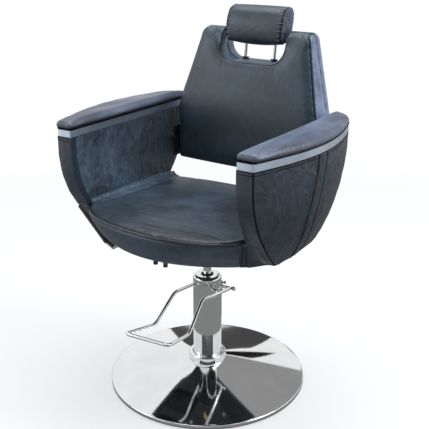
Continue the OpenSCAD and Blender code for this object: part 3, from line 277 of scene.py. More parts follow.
class Look:
    """A material on one Principled shader, with constants set here and patterns fed by wires."""

    def __init__(self, name, color, roughness, metallic=0.0, specular=0.5):
        self.material = bpy.data.materials.new(name)
        self.material.use_nodes = True
        self.tree = self.material.node_tree
        self.shader = self.tree.nodes["Principled BSDF"]
        constants = {"Base Color": (*color, 1.0), "Roughness": roughness, "Metallic": metallic,
                     "Specular IOR Level": specular}
        for socket, value in constants.items():
            self.shader.inputs[socket].default_value = value
        self.place = node(self.tree, "TexCoord", {}, "Object")
        self.normal = None

    def along(self, axis):
        """How far a place lies along an axis of the chair."""
        return node(self.tree, "SeparateXYZ", {"Vector": self.place}, axis)

    def stretched(self, scale):
        return node(self.tree, "Mapping", {"Vector": self.place, "Scale": scale})

    def noise(self, scale, detail=2.0, at=None, warp=0.0):
        values = {"Vector": at or self.place, "Scale": scale, "Detail": detail, "Distortion": warp}
        return node(self.tree, "TexNoise", values)

    def cells(self, scale):
        return node(self.tree, "TexVoronoi", {"Vector": self.place, "Scale": scale})

    def feed(self, socket, wire):
        self.tree.links.new(wire.socket, self.shader.inputs[socket])

    def tint(self, mask, first, second):
        """Base colour between two colours, by a mask."""
        values = {0: mask, 6: (*first, 1.0), 7: (*second, 1.0)}
        self.feed("Base Color", node(self.tree, "Mix", values, 2, data_type="RGBA"))

    def bump(self, height, distance, strength=1.0):
        values = {"Height": height, "Distance": distance, "Strength": strength}
        if self.normal:
            values["Normal"] = self.normal
        self.normal = node(self.tree, "Bump", values)
        self.feed("Normal", self.normal)


chrome = Look("chrome_plate", (0.78, 0.785, 0.79), 0.05, 1.0)
smears = chrome.noise(9.0, 4.0, warp=0.6)
chrome.feed("Roughness", 0.03 + 0.05 * smears)
chrome.tint(smears.over(0.3, 0.7), (0.74, 0.745, 0.755), (0.82, 0.825, 0.83))


def chromed(node_name, outline, body="base", turns=224):
    """Puts a lathed piece of chrome in the place of a CAD node."""
    put(f"{node_name}_chrome", lathe(node_name, outline, turns), chrome, body, "chrome", node_name)


base_r, _, dome_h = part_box("base_dome")[1]
collar_r, _, collar_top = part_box("collar_ring")[1]
bore = 0.0432
rim_h = 0.014
wall = 0.0025
foot_h = 0.006
rim_round = 0.004
rim_squash = 0.6


def dome_z(r):
    return lerp(dome_h, rim_h, (r - collar_r) / (base_r - collar_r))


dome_top = [(r, dome_z(r)) for r in np.linspace(collar_r, base_r - rim_round, 60)]
rim = rounded(base_r, dome_z(base_r - rim_round), rim_round, -rim_round * rim_squash, quarter(7, 0.2))
dome_under = [(r, dome_z(r) - wall) for r in np.linspace(base_r - wall - rim_round, collar_r, 30)]
dome_outline = [(bore, dome_h)] + dome_top + rim + [(base_r, foot_h), (base_r - wall, foot_h)] + dome_under
chromed("base_dome", dome_outline + [(bore, dome_h - wall)], turns=288)

collar_lip = 0.0035
collar_ease = 0.001
collar_edge = rounded(collar_r, collar_top, collar_lip, -collar_lip, quarter(8)[::-1])
collar_foot = [(bore, dome_h), (collar_r - collar_ease, dome_h), (collar_r, dome_h + collar_ease)]
collar_bore = [(bore + collar_lip, collar_top), (bore, collar_top - collar_lip)]
chromed("collar_ring", collar_foot + collar_edge + collar_bore)

tube_r = 0.043
tube_wall = 0.0035
flange_r = 0.072
flange_t = 0.008
ease_r = 0.0006
tube_low, tube_top = (corner.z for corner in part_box("column_tube"))
tube_in = tube_r - tube_wall
flange_top = tube_low + flange_t
tube_foot = [(tube_in, tube_low), (flange_r, tube_low), (flange_r, flange_top), (tube_r, flange_top)]
tube_end = [(tube_r, tube_top - ease_r), (tube_r - ease_r, tube_top), (tube_in, tube_top)]
chromed("column_tube", tube_foot + tube_end)

cap_low, cap_top = (corner.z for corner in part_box("column_cap"))
cap_round = 0.009
cap_bore = 0.0202
cap_skirt_r = tube_in - 0.0002
cap_edge = rounded(tube_r, cap_top, cap_round, -cap_round, quarter(14)[::-1])
cap_foot = [(cap_bore, cap_low), (cap_skirt_r, cap_low), (cap_skirt_r, tube_top), (tube_r - ease_r, tube_top),
            (tube_r, tube_top + ease_r)]
chromed("column_cap", cap_foot + cap_edge + [(cap_bore + ease_r, cap_top), (cap_bore, cap_top - ease_r)])


def finish(name, color, roughness, metallic, dark, light, stains, scuffs=None, pits=None, low=0.3):
    """A Look stained between two colours, and with scuffs in its roughness and pits in its face."""
    look = Look(name, color, roughness, metallic)
    look.tint(look.noise(*stains).over(low, 0.7), dark, light)
    if scuffs:
        least, span, *pattern = scuffs
        look.feed("Roughness", least + span * look.noise(*pattern))
    if pits:
        depth, *pattern = pits
        look.bump(look.noise(*pattern), depth)
    return look


def dress(look, *nodes):
    """Gives carried-over CAD nodes their finish."""
    for name in nodes:
        for slot in bpy.data.objects[name].material_slots:
            slot.material = look.material


rubber = finish("rubber_black", (0.012, 0.012, 0.013), 0.7, 0.0, (0.01, 0.01, 0.011), (0.022, 0.022, 0.023),
                (18.0, 4.0), (0.6, 0.25, 40.0, 3.0), (0.0001, 900.0, 2.0), low=0.35)
cast = finish("cast_iron_grey", (0.09, 0.092, 0.095), 0.62, 0.3, (0.06, 0.062, 0.066), (0.13, 0.13, 0.135),
              (22.0, 5.0), pits=(0.0006, 320.0, 4.0))
steel = finish("steel_zinc_plated", (0.5, 0.51, 0.53), 0.3, 1.0, (0.42, 0.43, 0.45), (0.58, 0.59, 0.6),
               (70.0, 4.0, None, 0.5), (0.24, 0.2, 55.0, 4.0))
steel.bump(steel.noise(400.0, 3.0, steel.stretched((1.0, 1.0, 8.0))), 0.00004)
brass = finish("bronze_bearing", (0.55, 0.4, 0.18), 0.32, 1.0, (0.46, 0.33, 0.15), (0.64, 0.48, 0.24),
               (35.0, 4.0), (0.26, 0.2, 60.0, 3.0))
dress(rubber, "base_foot_ring", "rod_wiper")
dress(cast, "base_weight")
dress(steel, "base_bolts", "oil_cylinder", "piston_head", "swivel_nut", "release_screw")
dress(chrome, "pedal_bracket", "plunger_barrel", "pump_plunger", "pedal_shaft", "pedal_yoke")
dress(brass, "rod_bush", "thrust_washer")


# Piston rod
# Ground and hard-chromed steel bar with the boss that carries the seat's mounting plate. It shows between the
# column's cap and the seat.
rod_r = 0.012
boss_r = 0.022
spigot_r = 0.009
rod_low, rod_top = (corner.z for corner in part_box("piston_rod"))
boss_z = 0.446
plate_z = 0.46
chromed("piston_rod", [(0.0, rod_low), (rod_r, rod_low), (rod_r, boss_z), (boss_r - 0.001, boss_z),
                       (boss_r, boss_z + 0.001), (boss_r, plate_z), (spigot_r, plate_z), (spigot_r, rod_top),
                       (0.0, rod_top)], "piston", 96)


# Foot pedal
# One 10 mm chromed rod bent round the column into a loop, with the foot bar in front. It hangs on the pump's
# shaft by its two ends, under domed nuts.
pedal_turn = math.radians(5.0)
shaft_y, shaft_z, shaft_half = 0.052, 0.287, 0.06
pedal_r = 0.005
bend_r = 0.016
pedal_side = [(0.052, shaft_y, shaft_z), (0.052, -0.056, 0.307), (0.047, -0.112, 0.32),
              (0.057, -0.207, 0.255), (0.069, -0.333, 0.284)]


def eased_corner(before, corner, after, steps):
    """A short curve from a place to another, drawn toward the corner between them."""
    a, b, c = (np.array(p) for p in (before, corner, after))
    return [tuple((1 - t) ** 2 * a + 2 * t * (1 - t) * b + t * t * c) for t in np.linspace(0.0, 1.0, steps)]


def bent(path, radius):
    """A path whose inner corners are eased into short curves."""
    path = [Vector(p) for p in path]
    eased = [path[0]]
    for before, corner, after in zip(path, path[1:], path[2:]):
        a = corner + radius * (before - corner).normalized()
        b = corner + radius * (after - corner).normalized()
        eased += [Vector(p) for p in eased_corner(a, corner, b, 10)]
    return eased + [path[-1]]


def swept(name, path, radius, sides=20):
    """A round rod along a path, its section turned as little as possible on the way."""
    rings, side = [], Vector((0, 0, 1))
    for i, point in enumerate(path):
        way = (path[min(i + 1, len(path) - 1)] - path[max(i - 1, 0)]).normalized()
        side = (side - side.dot(way) * way).normalized()
        over = way.cross(side)
        angles = [2 * math.pi * k / sides for k in range(sides)]
        rings.append([point + radius * (math.cos(a) * side + math.sin(a) * over) for a in angles])
    return skin(name, rings)


def joined(name, meshes):
    """One mesh of several."""
    form = bmesh.new()
    for mesh in meshes:
        form.from_mesh(mesh)
    return made_mesh(name, form)


def lathed_at(places, name, outline):
    """The same lathed piece at several places, as one mesh."""
    meshes = [lathe(name, outline, 48) for _ in places]
    for mesh, place in zip(meshes, places):
        mesh.transform(place)
    return joined(name, meshes)


about_column = Matrix.Rotation(pedal_turn, 4, "Z")
pedal_path = [(-x, y, z) for x, y, z in pedal_side] + pedal_side[::-1]
pedal_mesh = swept("pedal", bent(pedal_path, bend_r), pedal_r)
pedal_mesh.transform(about_column)
put("pedal_loop_chrome", pedal_mesh, chrome, "pedal", "chrome", "pedal_loop", crease=50)

nut_r, nut_l, nut_dome = 0.007, 0.009, 0.0035
nut_outline = [(0.0, 0.0), (nut_r, 0.0), (nut_r, nut_l - nut_dome)]
nut_outline += rounded(nut_r, nut_l, nut_r, -nut_dome, quarter(8, math.pi / 2 - 0.15, 0.0))
nut_places = [about_column @ Matrix.Translation((side * shaft_half, shaft_y, shaft_z))
              @ Matrix.Rotation(side * math.pi / 2, 4, "Y") for side in (-1, 1)]
put("pedal_nuts_chrome", lathed_at(nut_places, "nuts", nut_outline), chrome, "pedal", "chrome", "pedal_nuts")

# Arm covers
# Leatherette drawn tight over each arm's shell, front band and lining in one fitted cover, whose band runs
# over into the seat's apron at the foot. A sewn pleat and a stitched seam behind it run down the outer side.
def leather(name, creases, crease_depth, tint=(1.0, 1.0, 1.0), crease_scale=30.0, broad=0.35, wear_and_sheen_tint=None,
            shade=None):
    """Dark slate leatherette: fine embossed grain, soft mottling and creases stretched along one way."""
    deep = [c * t for c, t in zip((0.0105, 0.0155, 0.0215), tint)]
    # The lighter colour: random mottling, and painted sheen where a shade function lifts the mask.
    wear_and_sheen = [c * t for c, t in zip((0.025, 0.036, 0.05), wear_and_sheen_tint or tint)]
    look = Look(name, deep, 0.42)
    mottling = (0.7 - broad) * look.noise(8.0, 6.0, warp=0.5) + 0.3 * look.noise(45.0, 4.0)
    mask = (broad * look.noise(3.0) + mottling).over(0.4, 0.62)
    # A shade function, where given, paints light into the mask: sheen on the seat and pads, shade on the
    # lining and low on the pads.
    look.tint(shade(look, mask) if shade else mask, deep, wear_and_sheen)
    look.feed("Roughness", 0.27 + 0.22 * look.noise(6.0, 3.0) + 0.06 * look.noise(70.0))
    look.bump(look.noise(crease_scale, 3.0, look.stretched(creases), 0.5), crease_depth)
    look.bump(0.7 * look.cells(820.0) + 0.3 * look.noise(1500.0), 0.00022, 0.55)
    return look


def lining_painted_shade(look, mask):
    """Painted shade: the lining is darker toward the rear."""
    return mask * (1 - 0.75 * look.along("Y").over(-0.12, 0.16))


side_leather = leather("leather_arm_side", (1.0, 1.0, 0.8), 0.005, (0.92, 1.0, 1.08), 42.0)
band_leather = leather("leather_arm_band", (1.0, 1.0, 0.5), 0.0012, (1.0, 1.08, 1.12), 24.0)
lining_leather = leather("leather_arm_lining", (1.0, 1.6, 0.42), 0.01, (1.9, 1.85, 1.8), 74.0, 0.2,
                         (4.0, 3.9, 3.8), lining_painted_shade)

seat_z, seat_top, board_top = 0.49, 0.58, 0.502
apron_z, apron_top = 0.499, 0.573
apron_h = apron_top - apron_z
trim_z, arm_h = 0.784, 0.294
lining_x, cushion_half = 0.266, 0.2645
apron_half, apron_slant = 0.255, 0.018
seat_front, seat_rear = 0.318, 0.226
front_bow, front_corner, corner_power = 0.061, 0.053, 8
foot_in, foot_bow = 0.025, 0.112
arm_front_reach, arm_rear_reach = 0.2705, 0.271
arm_w, arm_foot_w, arm_swell = 0.049, 0.042, 0.056
front_draw, front_knee, front_low, front_power = 0.126, 0.26, 0.01, 2.2
rear_draw, rear_power = 0.187, 2.24
straight_h, straight_power = 0.078, 1.5
foot_swell, swell_power = 0.04, 2.5
end_r, end_low_r = 0.048, 0.003
band_t, band_crown, band_blend = 0.024, 0.0015, 0.03
least_w = 0.0167
seat_gap = 0.0003
lining_crown, lining_crown_low = 0.003, 0.594


def round_in(radius, distance):
    """How far an edge of that radius draws in, at a distance from its end."""
    near = max(radius - distance, 0.0)
    return radius - math.sqrt(max(radius ** 2 - near ** 2, 0.0))


def ease(share):
    share = clamp01(share)
    return share * share * (3 - 2 * share)


def seat_front_y(x):
    u = x / cushion_half
    return -seat_front + front_bow * u ** 2 + front_corner * u ** corner_power


def apron_foot_y(x):
    return -seat_front + foot_in + foot_bow * (x / cushion_half) ** 2


def apron_y(x, z):
    return lerp(apron_foot_y(x), seat_front_y(x), clamp01((z - apron_z) / apron_h))


def apron_side(z):
    return apron_half - apron_slant * (1 - clamp01((z - apron_z) / apron_h))


def arm_down(z):
    return clamp01((trim_z - z) / arm_h)


def arm_front_y(z):
    below = clamp01((seat_z + front_knee - z) / (front_knee - front_low))
    return -arm_front_reach + front_draw * below ** front_power


def arm_rear_y(z):
    return arm_rear_reach - rear_draw * arm_down(z) ** rear_power


def arm_band_w(z):
    return lerp(arm_w, arm_foot_w, clamp01((seat_z + straight_h - z) / straight_h) ** straight_power)


def arm_width(z, y, front, rear):
    share = clamp01((y - front) / (rear - front))
    bump = arm_swell * (1 - (1 - foot_swell) * arm_down(z) ** swell_power)
    end = round_in(lerp(end_r, end_low_r, arm_down(z)), rear - y)
    return arm_band_w(z) + bump * np.sin(math.pi * share) - end


def arm_face_y(x, z):
    out = ease((x - apron_half) / (lining_x + band_blend - apron_half))
    up = ease((z - apron_top) / band_blend)
    return lerp(apron_y(min(x, apron_half), z), arm_front_y(z), 1 - (1 - out) * (1 - up))


pleat_y, pleat_forward, pleat_drop = -0.037, 0.024, 0.2
pleat_depth, pleat_w, pleat_shadow_cord, pleat_shadow_cord_in = 0.008, 0.0032, 0.0042, 0.0034
pleat_under_trim, pleat_fade = 0.003, 0.004
lip_h, lip_before, lip_w, strip_h = 0.0016, 0.007, 0.005, 0.0012
seam_behind, seam_depth, seam_w = 0.045, 0.0012, 0.0016
outer_round, inner_round, inner_low_round, foot_round, roll = 0.006, 0.005, 0.002, 0.008, 0.003
rear_corner_r, rear_edge, rear_edge_w, toe_in = 0.04, 0.006, 0.004, 0.06
fold_near, fold_behind, seam_side = 0.012, 0.008, 0.006
behind_band, behind_band_step, seam_end_in = 0.001, 0.002, 0.01


def pleat_line(z):
    """Where the pleat runs: it leans forward on its way down."""
    return pleat_y - pleat_forward * ease((trim_z - z) / pleat_drop)


def pleat(y, z):
    """How far the outer side is drawn in by the pleat, its lip, the strip behind it and the strip's seam."""
    behind = y - pleat_line(z)
    fold = pleat_depth * np.exp(-(behind / pleat_w) ** 2)
    lip = -lip_h * np.exp(-((behind + lip_before) / lip_w) ** 2)
    strip = -strip_h * math.sin(math.pi * clamp01(behind / seam_behind))
    seam = seam_depth * np.exp(-((behind - seam_behind) / seam_w) ** 2)
    return (fold + lip + strip) * ease((trim_z - pleat_under_trim - z) / pleat_fade) + seam


def spaced(stops, counts):
    """Places from stop to stop, with that many between each two."""
    runs = [np.linspace(a, b, count)[1:] for a, b, count in zip(stops, stops[1:], counts)]
    return np.concatenate([stops[:1], *runs])


def arm_ring(z, inset):
    """A level of the left arm's cover: the inner corner, the band, the side, the rear end and the lining."""
    ahead = inset + toe_in * (1 - ease((z - seat_z) / (apron_z - seat_z)))
    front, rear = arm_front_y(z) + ahead, arm_rear_y(z) - inset - round_in(rear_corner_r, z - seat_z)
    inner = apron_side(z) + seat_gap if z < apron_top else cushion_half + seat_gap
    inner = lining_x if z < apron_z else inner
    corner = lerp(inner_low_round, inner_round, ease((z - seat_top) / 0.02))
    face = [arm_face_y(x, z) + ahead for x in (inner, inner + corner)]
    ring = eased_corner((inner, face[0] + corner), (inner, face[0]), (inner + corner, face[1]), 6)
    outer = lining_x + arm_band_w(z) - inset
    for share in np.linspace(0.0, 1.0, 22)[1:-1]:
        x = lerp(inner + corner, outer - outer_round, share)
        ring.append((x, arm_face_y(x, z) + ahead - band_crown * math.sin(math.pi * share)))
    turn = front + outer_round
    ring += eased_corner((outer - outer_round, arm_face_y(outer - outer_round, z) + ahead), (outer, front),
                         (lining_x + arm_width(z, turn, front, rear) - inset, turn), 9)
    end = lerp(end_r, end_low_r, arm_down(z))
    end_turn = [rear - end * (1 - math.cos(math.radians(a))) for a in np.linspace(78, 6, 15)]
    marks = (-fold_near, fold_behind, seam_behind - seam_side, seam_behind + seam_side)
    stops = [pleat_line(z) + d for d in marks]
    for y in [*spaced([turn, *stops, end_turn[0]], (40, 26, 12, 14, 44))[1:], *end_turn[1:]]:
        x = lining_x + max(least_w, arm_width(z, y, front, rear)) - inset
        ring.append((x - pleat(y, z), y))
    edge_x = lining_x + least_w - rear_edge_w
    ring += eased_corner((edge_x, rear), (lining_x, rear), (lining_x, rear - rear_edge), 5)
    bulge = lining_crown * math.sin(math.pi * clamp01((z - lining_crown_low) / (trim_z - lining_crown_low)))
    back = front + band_t
    ring += [(lining_x - bulge * math.sin(math.pi * s), lerp(rear - rear_edge, back, s))
             for s in np.linspace(0.0, 1.0, 60)[1:]]
    back -= behind_band
    ring += [(lerp(lining_x, inner, s), back - behind_band_step * s) for s in (0.4, 1.0)]
    ring += [(inner, lerp(back - behind_band_step, face[0] + corner, s)) for s in (0.3, 0.6, 0.85)]
    return [(x, y, z) for x, y in ring]


low, high = seat_z + seat_gap, trim_z - seat_gap
levels = [low + d for d in (0.0, 0.0006, 0.0015, 0.003, 0.0055)] + [apron_z - 0.0003, apron_z]
levels += list(np.linspace(apron_z + 0.002, apron_top - 0.001, 30))
levels += list(np.linspace(apron_top, high - roll, 82)) + [high - d for d in (0.002, 0.0012, 0.0005, 0.0)]


def rumple(mesh, depth, scale, seed=0.0, where=lambda p: True):
    """Moves a mesh's points along their normals by smooth noise, stretched by a scale for each axis."""
    normals = [v.normal.copy() for v in mesh.vertices]
    for vertex, normal in zip(mesh.vertices, normals):
        p = vertex.co
        at = Vector((p.x * scale[0] + seed, p.y * scale[1], p.z * scale[2]))
        vertex.co = p + normal * depth * where(p) * noise.fractal(at, 0.9, 2.1, 3)


def mirrored(mesh):
    """A copy of a left-hand mesh for the right side, its faces still pointing out."""
    other = mesh.copy()
    other.transform(Matrix.Scale(-1, 4, (1, 0, 0)))
    other.flip_normals()
    return other


def on_surface(mesh, path):
    """A path moved onto a mesh, at even steps of 2 mm, with the directions of the surface there."""
    path = [Vector(p) for p in path]
    run = np.concatenate([[0.0], np.cumsum([(b - a).length for a, b in zip(path, path[1:])])])
    even = np.linspace(0.0, run[-1], max(2, int(run[-1] / 0.002)))
    points = np.stack([np.interp(even, run, [p[k] for p in path]) for k in range(3)], axis=1)
    faces = BVHTree.FromPolygons([v.co for v in mesh.vertices], [p.vertices for p in mesh.polygons])
    return [faces.find_nearest(Vector(p))[:2] for p in points]


def groove(mesh, path, width, depth):
    """Draws a mesh in along a path, as the thread of a seam does."""
    tree = kdtree.KDTree(len(path))
    for index, (point, _) in enumerate(path):
        tree.insert(point, index)
    tree.balance()
    moves = []
    for vertex in mesh.vertices:
        _, index, far = tree.find(vertex.co)
        if far < 3 * width:
            moves.append((vertex.index, path[index][1] * depth * math.exp(-(far / width) ** 2)))
    for index, move in moves:
        mesh.vertices[index].co -= move


seams = {}


def sewn(body, mesh, path, width, depth, cord):
    """A groove with a dark cord of thread in it. A cord of 0 stands for stitches laid on the cloth."""
    path = on_surface(mesh, path)
    if depth > 0:
        groove(mesh, path, width, depth)
    sunk = 0.7 * depth if cord else 0.0
    seams.setdefault(body, []).append((cord, [p - n * sunk for p, n in path]))


def panelled(mesh, looks, pick):
    """Gives the faces of a mesh a panel's finish: a pick of 0 keeps their own, and the looks count from 1."""
    for look in looks:
        mesh.materials.append(look.material)
    for face in mesh.polygons:
        face.material_index = pick(face)


def arm_panel(face):
    """The cover's panel that a face is in: its side, lining, underlining or front band."""
    x, y, z = abs(face.center.x), face.center.y, face.center.z
    if face.normal.z < -0.95 and z < seat_z + 0.002:
        return 2
    if x < lining_x + 0.001 and y > arm_front_y(z) + band_t - 0.002:
        return 1
    return 3 if face.normal.y < -0.6 and x < lining_x + arm_w else 0


def arm_side_x(z, y):
    return lining_x + arm_width(z, y, arm_front_y(z), arm_rear_y(z))


def sides(mesh):
    return ("left", mesh), ("right", mirrored(mesh))


underlining = Look("underlining_black", (0.006, 0.006, 0.006), 0.75)
underlining.bump(underlining.cells(700.0), 0.0003)
insets = [round_in(foot_round, z - low) + round_in(roll, high - z) for z in levels]
arm_mesh = skin("arm", [arm_ring(z, inset) for z, inset in zip(levels, insets)])
rumple(arm_mesh, 0.0011, (28.0, 28.0, 22.0), where=lambda p: p.x > lining_x + 0.02)
rumple(arm_mesh, 0.0007, (10.0, 95.0, 14.0), 7.0, lambda p: p.x < lining_x + 0.001 and p.y > -0.2)
arm_levels = np.linspace(low + 0.005, high - 0.001, 90)
corner_line = [(lining_x + arm_band_w(z) - 0.001, arm_front_y(z) + 0.001, z) for z in arm_levels]
sewn("seat", arm_mesh, corner_line, 0.002, 0.0022, 0.0017)
for inset, cord in ((0.0047, 0.001), (0.0092, 0.0), (0.0137, 0.001)):
    toe_line = [(apron_side(z) + inset, arm_face_y(apron_side(z) + inset, z), z)
                for z in np.linspace(apron_z + 0.001, apron_top - 0.003, 44)]
    sewn("seat", arm_mesh, toe_line, 0.0014, 0.001, cord)
# The thick black cord sunk in each pleat is painted shadow that darkens the fold.
for behind, cord in ((0.0, pleat_shadow_cord), (seam_behind, 0.0014), (seam_behind - 0.005, 0.0)):
    places = [(pleat_line(z) + behind, z) for z in arm_levels]
    fall = [Vector((arm_side_x(z, y), y, z)) for y, z in places
            if arm_front_y(z) + seam_end_in < y < arm_rear_y(z) - seam_end_in]
    if behind:
        sewn("seat", arm_mesh, fall, 0.0015, 0.0004, cord)
    else:
        seams["seat"].append((cord, [p - Vector((pleat_shadow_cord_in, 0.0, 0.0)) for p in fall]))
row_z, row_front, row_rear = trim_z - 0.0095, -arm_front_reach + 0.006, arm_rear_reach - 0.012
trim_row = [(lining_x + w, arm_front_y(row_z), row_z) for w in np.linspace(0.004, arm_w - 0.003, 12)]
trim_row += [(arm_side_x(row_z, y), y, row_z) for y in np.linspace(row_front, row_rear, 120)]
sewn("seat", arm_mesh, trim_row, 0.0012, 0.0008, 0.0009)
sewn("seat", arm_mesh, [(x, y, trim_z - 0.0016) for x, y, z in trim_row], 0.001, 0.0, 0.001)
seams["seat"] += [(cord, [Vector((-p.x, p.y, p.z)) for p in path]) for cord, path in seams["seat"]]
for side, mesh in sides(arm_mesh):
    covered = [f"arm_{part}_{side}" for part in ("front", "shell", "lining")]
    put(f"arm_cover_{side}", mesh, side_leather, "seat", "upholstery", *covered, crease=50)
    panelled(mesh, (lining_leather, underlining, band_leather), arm_panel)


# Metal trims
# A strip of brushed and clear-anodised aluminium round the top of each arm, between the cover and the pad.
trim_h, trim_t, trim_edge = 0.021, 0.0025, 0.0005
plan_front_in, plan_corner, plan_end_over, plan_end_w = 0.001, 0.0045, 0.001, 0.018
plan_round = 0.009


def arm_plan(inset, over=0.0):
    """Outline of the arm's top, drawn in by a distance. An overhang of its outer side fades to the rear."""
    a, b = -arm_front_reach + inset + plan_front_in, arm_rear_reach + plan_end_over - inset
    x = lining_x + inset
    outline = eased_corner((x, a + plan_corner), (x, a), (x + plan_corner, a), 5)
    run = [a + plan_round * (1 - math.cos(math.radians(t))) for t in np.linspace(0, 80, 10)]
    run += list(np.linspace(a + plan_round, b - end_r, 90)[1:])
    run += [b - end_r * (1 - math.cos(math.radians(t))) for t in np.linspace(82, 5, 22)]
    for y in run:
        out = over * (1 - ((y - a) / (b - a)) ** 3)
        w = max(plan_end_w, arm_width(trim_z, y, a, b) - round_in(plan_round, y - a))
        outline.append((lining_x + w - inset + out, y))
    return outline + eased_corner((x + plan_corner, b), (x, b), (x, b - plan_corner), 5)


trim_metal = Look("brushed_aluminium", (0.46, 0.52, 0.59), 0.4, 1.0)
brushing = trim_metal.noise(60.0, 3.0, trim_metal.stretched((1.0, 1.0, 45.0)))
clouding = trim_metal.noise(9.0)
trim_metal.feed("Roughness", 0.36 + 0.16 * brushing)
trim_metal.tint((0.5 * brushing + 0.5 * clouding).over(0.35, 0.65), (0.36, 0.42, 0.5), (0.58, 0.67, 0.77))
trim_metal.bump(brushing, 0.00012, 0.5)
trim_top = trim_z + trim_h
in_and_up = [(0.0, trim_edge), (0.0, trim_h - trim_edge), (trim_edge, trim_h), (trim_t - trim_edge, trim_h),
             (trim_t, trim_h - trim_edge), (trim_t, trim_edge), (trim_t - trim_edge, 0.0), (trim_edge, 0.0)]
sections = [[(x, y, trim_z + up) for x, y in arm_plan(inset)] for inset, up in in_and_up]
for side, mesh in sides(skin("trim", sections + sections[:1], caps=False)):
    put(f"arm_trim_strip_{side}", mesh, trim_metal, "seat", "trim", f"arm_trim_{side}")


# Arm pads
# Soft pads of foam under leatherette, screwed down on the trim's board. Their edges are rolled and the top is
# slightly crowned. The cloth is swollen by pressure and held at its foot.
cloth_frames = 20


def swollen(mesh, voxel, pressure, cap, held, smooth=2):
    """Remeshes a closed form, swells it as cloth by at most the cap, and gives back a finer mesh."""
    form = linked("form", mesh)
    grid = form.modifiers.new("grid", "REMESH")
    grid.mode, grid.voxel_size = "VOXEL", voxel
    soften = form.modifiers.new("soften", "SMOOTH")
    soften.iterations = smooth
    form.data = settled(form)
    rest = np.array([v.co for v in form.data.vertices])
    pin = form.vertex_groups.new(name="held")
    for index, point in enumerate(rest):
        if held(point):
            pin.add([index], 1.0, "REPLACE")
    cloth = form.modifiers.new("cloth", "CLOTH")
    cloth.settings.quality = 4
    cloth.settings.use_pressure = True
    cloth.settings.uniform_pressure_force = pressure
    cloth.settings.effector_weights.gravity = 0.0
    cloth.settings.vertex_group_mass = pin.name
    cloth.collision_settings.use_collision = False
    cloth.point_cache.frame_start, cloth.point_cache.frame_end = 1, cloth_frames
    for step in range(1, cloth_frames + 1):
        scene.frame_set(step)
    blown = settled(form)
    form.modifiers.clear()
    moved = np.array([v.co for v in blown.vertices]) - rest
    length = np.linalg.norm(moved, axis=1, keepdims=True)
    moved *= cap * np.tanh(length / cap) / np.maximum(length, 1e-9)
    form.data.vertices.foreach_set("co", (rest + moved).ravel())
    scene.frame_set(1)
    finer = form.modifiers.new("finer", "SUBSURF")
    finer.levels = finer.render_levels = 1
    finished = settled(form)
    bpy.data.objects.remove(form)
    return finished


def settled(piece):
    """The mesh that a piece's modifiers give, which are then taken off it."""
    evaluated = piece.evaluated_get(bpy.context.evaluated_depsgraph_get())
    mesh = bpy.data.meshes.new_from_object(evaluated)
    if not any(m.type == "CLOTH" for m in piece.modifiers):
        piece.modifiers.clear()
    return mesh


pad_z, pad_h, pad_round, pad_over = trim_top + seat_gap, 0.022, 0.011, 0.005


def pad_painted_sheen_and_shade(look, mask):
    """Painted sheen on top in broad blotches and stripes, and painted shade low on the rolled edge."""
    sheen_patches = look.noise(5.0, 2.0, look.stretched((1.6, 0.8, 1.0)))
    sheen_streaks = look.noise(14.0, 3.0, look.stretched((1.5, 0.5, 1.0)))
    clear_of_low_shade = look.along("Z").over(pad_z + 0.006, pad_z + 0.013)
    return (0.2 + 0.8 * (0.5 * sheen_patches + 0.5 * sheen_streaks).over(0.38, 0.62)) * clear_of_low_shade * (0.9 + 0.1 * mask)


# The pad's light colour is painted sheen, and its darker low edge is painted shade.
pad_leather = leather("leather_arm_pad", (1.0, 0.5, 1.0), 0.002, (1.5, 1.1, 1.15), 14.0,
                      wear_and_sheen_tint=(5.8, 4.8, 4.8), shade=pad_painted_sheen_and_shade)
pad_levels = [(0.0, 0.003), (0.0015, 0.0012), (0.004, 0.0), (pad_h - pad_round, 0.0)]
pad_levels += rounded(pad_h, 0.0, pad_round, pad_round, quarter(7, 0.25))
pad_rings = [[(x, y, pad_z + height) for x, y in arm_plan(inset, pad_over)] for height, inset in pad_levels]
pad_mesh = swollen(skin("pad", pad_rings), 0.004, 3.0, 0.004, lambda p: p[2] < pad_z + 0.008)
# A thick black cord round each pad's foot is painted shadow: it darkens the gap between the pad and the trim.
gap_shadow_cord_r, gap_shadow_cord_z = 0.003, pad_z + 0.0006
gap_shadow_line = arm_plan(0.0012)
for way in (1, -1):
    seams["seat"].append((gap_shadow_cord_r, [Vector((way * x, y, gap_shadow_cord_z)) for x, y in gap_shadow_line + gap_shadow_line[:1]]))
for side, mesh in sides(pad_mesh):
    pad = put(f"arm_pad_cushion_{side}", mesh, pad_leather, "seat", "upholstery", f"arm_pad_{side}",
              crease=180)


# Seat
# One thick foam cushion under leatherette, crowned and lower at the rear, its front edge rolled down to a lip
# over the apron. A seam and a row of stitches follow that edge, and a soft fold closes the gap to each arm.
seat_corner_r, seat_slack, seat_middle_y, seat_edge = 0.018, 0.003, -0.016, 0.0038
seat_rear_bow, seat_fall_from, seat_fall, seat_crown = 0.027, 0.105, 0.02, 0.009
apron_t = 0.028


def seat_rear_y(x):
    return seat_rear - seat_rear_bow * (x / cushion_half) ** 2


def seat_top_z(x, y):
    u, v = x / cushion_half, clamp01((y + seat_front) / (seat_front + seat_rear))
    fall = clamp01((y + seat_front - seat_fall_from) / (seat_front + seat_rear - seat_fall_from))
    return seat_top - seat_fall * fall + seat_crown * (1 - u * u) * np.sin(math.pi * v)


def apron_back_y(x):
    return max(seat_front_y(x), apron_foot_y(x)) + apron_t


